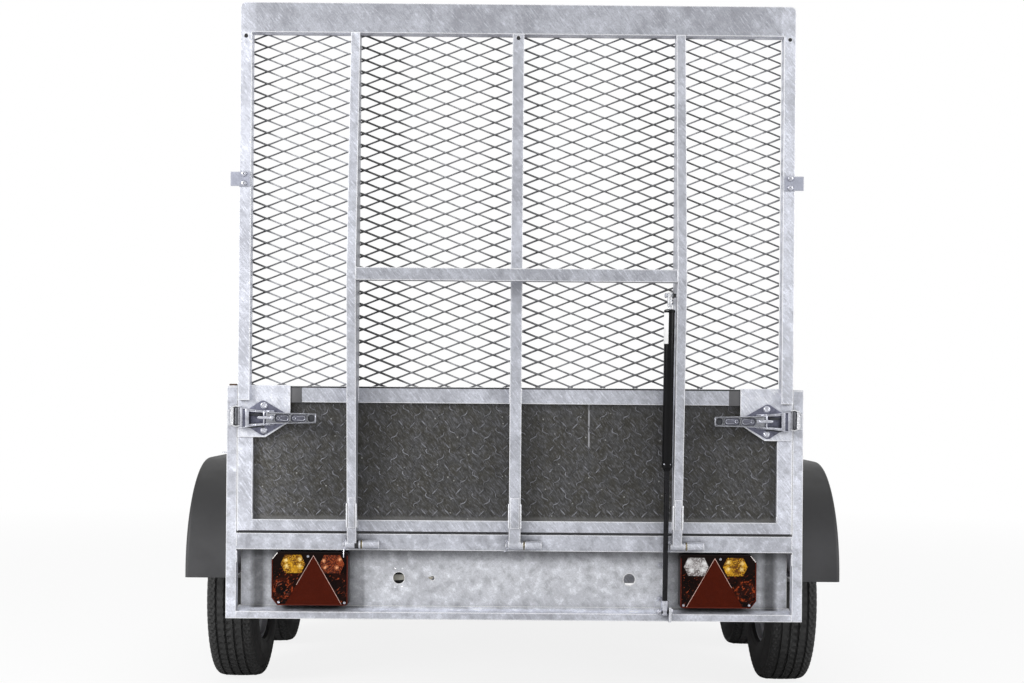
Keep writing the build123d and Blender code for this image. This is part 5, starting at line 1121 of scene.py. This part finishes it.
# bright screws at the cylinder's foot
foot_screws = Shape()
for shift in (-0.0085, 0.0070):
    foot_screws.dome(strut_top + strut_run * 0.460 + Vector((shift, -0.0118, 0)), REARWARD, 0.0021, 0.0014, 12)
foot_screws.make("strut_screws", "plated", "strut_cylinder", "zinc_plate")
# bright top eye on its crimped neck
single("strut_top_eye", "roll", "strut_cylinder", "zinc_plate", Shape.lathe,
       [(-0.0090, 0.0), (-0.0090, 0.0056), (-0.0078, 0.0066), (0.0280, 0.0066), (0.0292, 0.0048),
        (0.0335, 0.0048), (0.0345, 0.0062), (0.0372, 0.0062), (0.0372, 0.0)], strut_top, strut_run, 28)
# blank paper label wrapped on the side of the cylinder
label = Shape()
wrap = turns(9, math.radians(-182), math.radians(86.4))
arc = [Vector((c, s, 0)) * 0.01505 for c, s in wrap] + [Vector((c, s, 0)) * 0.01380 for c, s in reversed(wrap)]
label.skin([[label.bm.verts.new(strut_top + strut_run * along + point) for point in arc]
            for along in (0.041, 0.131)])
label.make("strut_label", "label", "strut_cylinder", "painted_black")
# head and nut of the top pivot
single("strut_top_head", "plated", "ramp", "zinc_plate", Shape.lathe,
       [(0, 0.0058), (0.0010, 0.0066), (0.0042, 0.0062), (0.0056, 0.0040), (0.0058, 0.0)],
       strut_top + Vector((-0.0086, 0, 0)), LEFTWARD, 20)
single("strut_top_nut", "black", "ramp", "zinc_plate", Shape.bolt, strut_top + Vector((0.0078, 0, 0)), RIGHTWARD,
       0.0058, 0.0072)
# plated foot eye with the pivot's bolt head, nut and wire clip
foot = Shape()
foot.lathe([(-0.032, 0.0070), (-0.031, 0.0102), (0.008, 0.0104), (0.0095, 0.0080)], strut_foot, strut_run, 24)
foot.bolt(strut_foot + Vector((0.0173, 0, 0)), RIGHTWARD, 0.0080, 0.0045)
foot.lathe([(0, 0.0060), (0.004, 0.0060), (0.005, 0.0085), (0.010, 0.0078), (0.012, 0.0050)],
           strut_foot + Vector((-0.0100, 0, 0)), LEFTWARD, 20)
clip = [(-0.020, -0.006), (-0.0265, 0.000), (-0.0285, 0.018), (-0.0265, 0.026), (-0.0215, 0.029), (-0.0120, 0.030)]
foot.tube([strut_foot + Vector((x, -0.004, z)) for x, z in clip], 0.0011, 8)
foot.make("strut_foot_eye", "plated", "strut_rod", "zinc_plate")

# ---------------------------------------------------------------- tyres and wheels
TYRE_STEPS, SIPES = 288, 72
BEAD_X, BEAD_R, SHOULDER_R = 0.0567, 0.1745, 0.2865


def tyre_profile():
    """(offset from the middle, radius, is tread) from bead to bead."""
    half, tread = TYRE_W / 2, 0.4 * TYRE_W
    side = []
    for k in range(8):
        bulge = math.sin(math.pi * (0.16 + 0.80 * k / 8))
        side.append((BEAD_X + (half - BEAD_X) * bulge ** 0.7, BEAD_R + (SHOULDER_R - BEAD_R) * k / 8, False))
    side.append((tread + 0.0065, SHOULDER_R, False))
    crown = [(tread + 0.0025, 0.2905, False), (tread, 0.2925, True), (0.0600, 0.2945, True), (0.0528, 0.2958, True)]
    groove = []
    for middle, depth in ((0.042, 0.0070), (0.014, 0.0070)):
        top = WHEEL_R - 0.0008 if middle > 0.03 else WHEEL_R
        groove += [(middle + 0.0066, top, True), (middle + 0.0036, top, True), (middle + 0.0030, top - depth, False),
                   (middle - 0.0030, top - depth, False), (middle - 0.0036, top, True), (middle - 0.0100, top, True)]
    right = [(BEAD_X, 0.1665, False), (BEAD_X, 0.1690, False)] + side + crown + groove
    return right + [(-x, r, t) for x, r, t in reversed(right)]


def detailed_tyre(place, hand):
    """Ribbed road tyre with four grooves, and slanting sipes across its blocks."""
    profile = tyre_profile()
    sign = SIDES[hand]
    shape = Shape()
    rows = []
    for offset, radius, tread in profile:
        # sipes cut the tread's blocks, and more shallowly the shoulders
        cut = 0.0045 if tread else 0.0028 if 0.285 < radius < 0.2915 else 0.0
        rows.append([])
        for k, (c, s) in enumerate(turns(TYRE_STEPS)):
            phase = ((k + abs(offset) * 260) * SIPES / TYRE_STEPS) % 1.0
            r = radius - (cut if phase < 0.27 else 0.0)
            rows[-1].append(shape.bm.verts.new((sign * WHEEL_X + offset, AXLE_Y[place] + r * s, WHEEL_R + r * c)))
    shape.skin(rows + rows[:1], ends=False)
    shape.make(f"tyre_detail_{place}_{hand}", "tyre", f"wheel_{place}_{hand}", "tyre_rubber",
               replaces=(f"tyre_{place}_{hand}",), sharp=0.5)


def wheel_fittings(place, hand):
    """Nuts, valve and moulded wall rings of one wheel."""
    sign = SIDES[hand]
    centre = Vector((sign * WHEEL_X, AXLE_Y[place], WHEEL_R))
    out = Vector((sign, 0, 0))
    shape = Shape()
    for c, s in turns(5, 0.4):
        at = centre + out * 0.034 + Vector((0, c, s)) * 0.050
        shape.lathe([(0, 0.0115), (0.004, 0.0115), (0.006, 0.0095)], at, out, 24)
        shape.lathe([(0.004, 0.0100), (0.017, 0.0100), (0.020, 0.0070), (0.0205, 0.0)], at, out, 6)
    valve = centre + out * 0.040 + Vector((0, 0.128, 0.030))
    shape.lathe([(0, 0.0055), (0.010, 0.0052), (0.012, 0.0040), (0.026, 0.0038), (0.028, 0.0030)], valve, out, 14)
    shape.make(f"wheel_nuts_{place}_{hand}", "plated", f"wheel_{place}_{hand}", "zinc_plate")
    rings = Shape()
    # rings moulded on both side walls
    for radius, thick in ((0.1880, 0.0012), (0.2360, 0.0010), (0.2690, 0.0011)):
        wall = tyre_wall(radius)
        for side in (-1, 1):
            rings.tube([centre + Vector((side * (wall - 0.0002), radius * c, radius * s))
                        for c, s in turns(72) + turns(1)], thick, 6)
    rings.make(f"tyre_rings_{place}_{hand}", "tyre", f"wheel_{place}_{hand}", "tyre_rubber")


def tyre_wall(radius):
    """Half width of the side wall at a radius."""
    points = [(r, x) for x, r, _ in tyre_profile() if x > 0 and r < 0.29]
    for (r0, x0), (r1, x1) in zip(points, points[1:]):
        if r0 <= radius <= r1:
            return x0 + (x1 - x0) * (radius - r0) / (r1 - r0)


for place in AXLE_Y:
    for hand in SIDES:
        detailed_tyre(place, hand)
        wheel_fittings(place, hand)

# ---------------------------------------------------------------- chassis and bed fittings
fasteners = Shape()
# small screws that hold the right lamp's bracket through the recessed panel
for z in (0.408, 0.500):
    fasteners.bolt((0.4085, PANEL_Y - 0.0002, z), REARWARD, 0.0052, 0.0045)
for sign in (-1, 1):
    # cup bolts of the mudguard brackets
    for y in AXLE_Y.values():
        for shift in (-0.08, 0.08):
            fasteners.dome((sign * 0.985, y + shift, 0.7700), (0, 0, 1), 0.009, 0.004, 18)
    # pop rivets along the side sheets
    for k in range(24):
        fasteners.dome((sign * POST_OUT, -2.02 + k * 0.122, 0.9700), (sign, 0, 0), 0.0040, 0.0018, 12)
fasteners.make("frame_fasteners", "plated", "chassis", "zinc_plate")

# what shows through the panel's cable hole: a beige member before a dark plate of painted shade; the grommet beside it
# and spatter round it
single("cable_hole_dark", "hole", "chassis", "galvanised", Shape.box, (-0.348, -0.296),
       (PANEL_Y + 0.0140, PANEL_Y + 0.0150), (0.4340, 0.4860))
single("cable_hole_member", "beige", "chassis", "galvanised", Shape.prism,
       [(-0.347, 0.4500), (-0.297, 0.4545), (-0.297, 0.4686), (-0.347, 0.4680)], "y",
       PANEL_Y + 0.0120, PANEL_Y + 0.0141)
half_moon = [(-0.2324 + 0.0072 * c, 0.4637 + 0.0066 * s) for c, s in turns(24, math.pi)[:13]]
single("cable_grommet", "khaki", "chassis", "galvanised", Shape.prism, half_moon, "y", PANEL_Y - 0.0010,
       PANEL_Y + 0.0004, bevel=0.0002)
spatter = Shape()
for dx in (-0.0097, 0.0097):
    for dz in (-0.0262, 0.0262):
        spatter.dome((-0.3217 + dx, PANEL_Y, 0.4604 + dz), REARWARD, 0.0026, 0.0016, 12)
spatter.make("panel_spatter", "roll", "chassis", "galvanised")

# shadow gap under the mesh frame as dark strips of painted shadow, and painted shade at the ends of the cross rail as
# dark grey plates
RAIL_SHADE_OUT, GAP_LOW = 0.6216, 0.9893
frame_gap = Shape()
for limits in ((CENTRE_HALF, RIB_X - RIB_HALF), (RIB_X + RIB_HALF, RAIL_SHADE_OUT)):
    frame_gap.boxes(limits, (REAR - 0.0006, REAR + 0.0015), (GAP_LOW, 0.9930))
frame_gap.make("frame_gap", "hole", "ramp", "galvanised")
single("rail_end_shadows", "rail_shade", "ramp", "galvanised", Shape.boxes, (0.5905, RAIL_SHADE_OUT),
       (REAR - 0.0008, REAR + 0.0015), (0.9480, GAP_LOW), bevel=0.0003)

# ---------------------------------------------------------------- stage and light
scene = bpy.context.scene
scene.view_settings.view_transform = "Standard"
FLOOR_NEAR, FLOOR_FAR, FLOOR_GREY, WORLD_LIGHT = 1.6, 7.0, 0.86, 0.42


def stage_floor():
    """Pale floor that keeps the shadow; the camera sees it grey near the trailer, then white."""
    mesh = bpy.data.meshes.new("studio_floor")
    mesh.from_pydata([(-60, -60, 0), (60, -60, 0), (60, 60, 0), (-60, 60, 0)], [], [(0, 1, 2, 3)])
    floor = bpy.data.objects.new("studio_floor", mesh)
    scene.collection.objects.link(floor)
    material = bpy.data.materials.new("studio_floor_pale")
    tree = new_tree(material)
    diffuse = add_node(tree, "BsdfDiffuse", [("Color", (0.80, 0.80, 0.80, 1))])
    white = add_node(tree, "Emission", [("Color", (1, 1, 1, 1))])
    place = add_node(tree, "TexCoord").outputs["Object"]
    length = add_node(tree, "VectorMath", [(0, place)], operation="LENGTH").outputs["Value"]
    fade = add_node(tree, "MapRange", [("Value", length), ("From Min", FLOOR_NEAR), ("From Max", FLOOR_FAR),
                                       ("To Min", FLOOR_GREY), ("To Max", 1.0)]).outputs["Result"]
    camera_ray = add_node(tree, "LightPath").outputs["Is Camera Ray"]
    seen = add_node(tree, "Math", [(0, camera_ray), (1, fade)], operation="MULTIPLY").outputs[0]
    mix = add_node(tree, "MixShader", [("Fac", seen), (1, diffuse.outputs[0]), (2, white.outputs[0])])
    add_node(tree, "OutputMaterial", [("Surface", mix.outputs[0])])
    mesh.materials.append(material)


def studio_world():
    """White where the camera, gloss and glass see it, and softer as light."""
    scene.world = bpy.data.worlds.new("studio")
    tree = new_tree(scene.world)
    path = add_node(tree, "LightPath").outputs
    first = add_node(tree, "Math", [(0, path["Is Camera Ray"]), (1, path["Is Glossy Ray"])], operation="MAXIMUM")
    second = add_node(tree, "Math", [(0, first.outputs[0]), (1, path["Is Transmission Ray"])], operation="MAXIMUM")
    level = add_node(tree, "MapRange", [("Value", second.outputs[0]), ("To Min", WORLD_LIGHT), ("To Max", 1.0)])
    background = add_node(tree, "Background", [("Color", (1, 1, 1, 1)), ("Strength", level.outputs["Result"])])
    add_node(tree, "OutputWorld", [("Surface", background.outputs[0])])


def softbox(name, at, towards, size, power):
    """Rectangular area light aimed at a point."""
    data = bpy.data.lights.new(name, "AREA")
    data.shape = "RECTANGLE"
    data.size, data.size_y = size
    data.energy = power
    light = bpy.data.objects.new(name, data)
    run = Vector(towards) - Vector(at)
    light.matrix_world = Matrix.Translation(at) @ run.to_track_quat("-Z", "Y").to_matrix().to_4x4()
    scene.collection.objects.link(light)


stage_floor()
studio_world()
for lamp in (("key", (-4.6, -5.2, 2.9), (0, -2.1, 0.8), (2.2, 2.2), 250),
             ("fill", (5.2, -4.8, 2.6), (0, -2.1, 0.8), (2.4, 2.4), 150),
             ("top", (0, -0.6, 5.2), (0, -0.6, 0), (4.0, 5.0), 120)):
    softbox(*lamp)
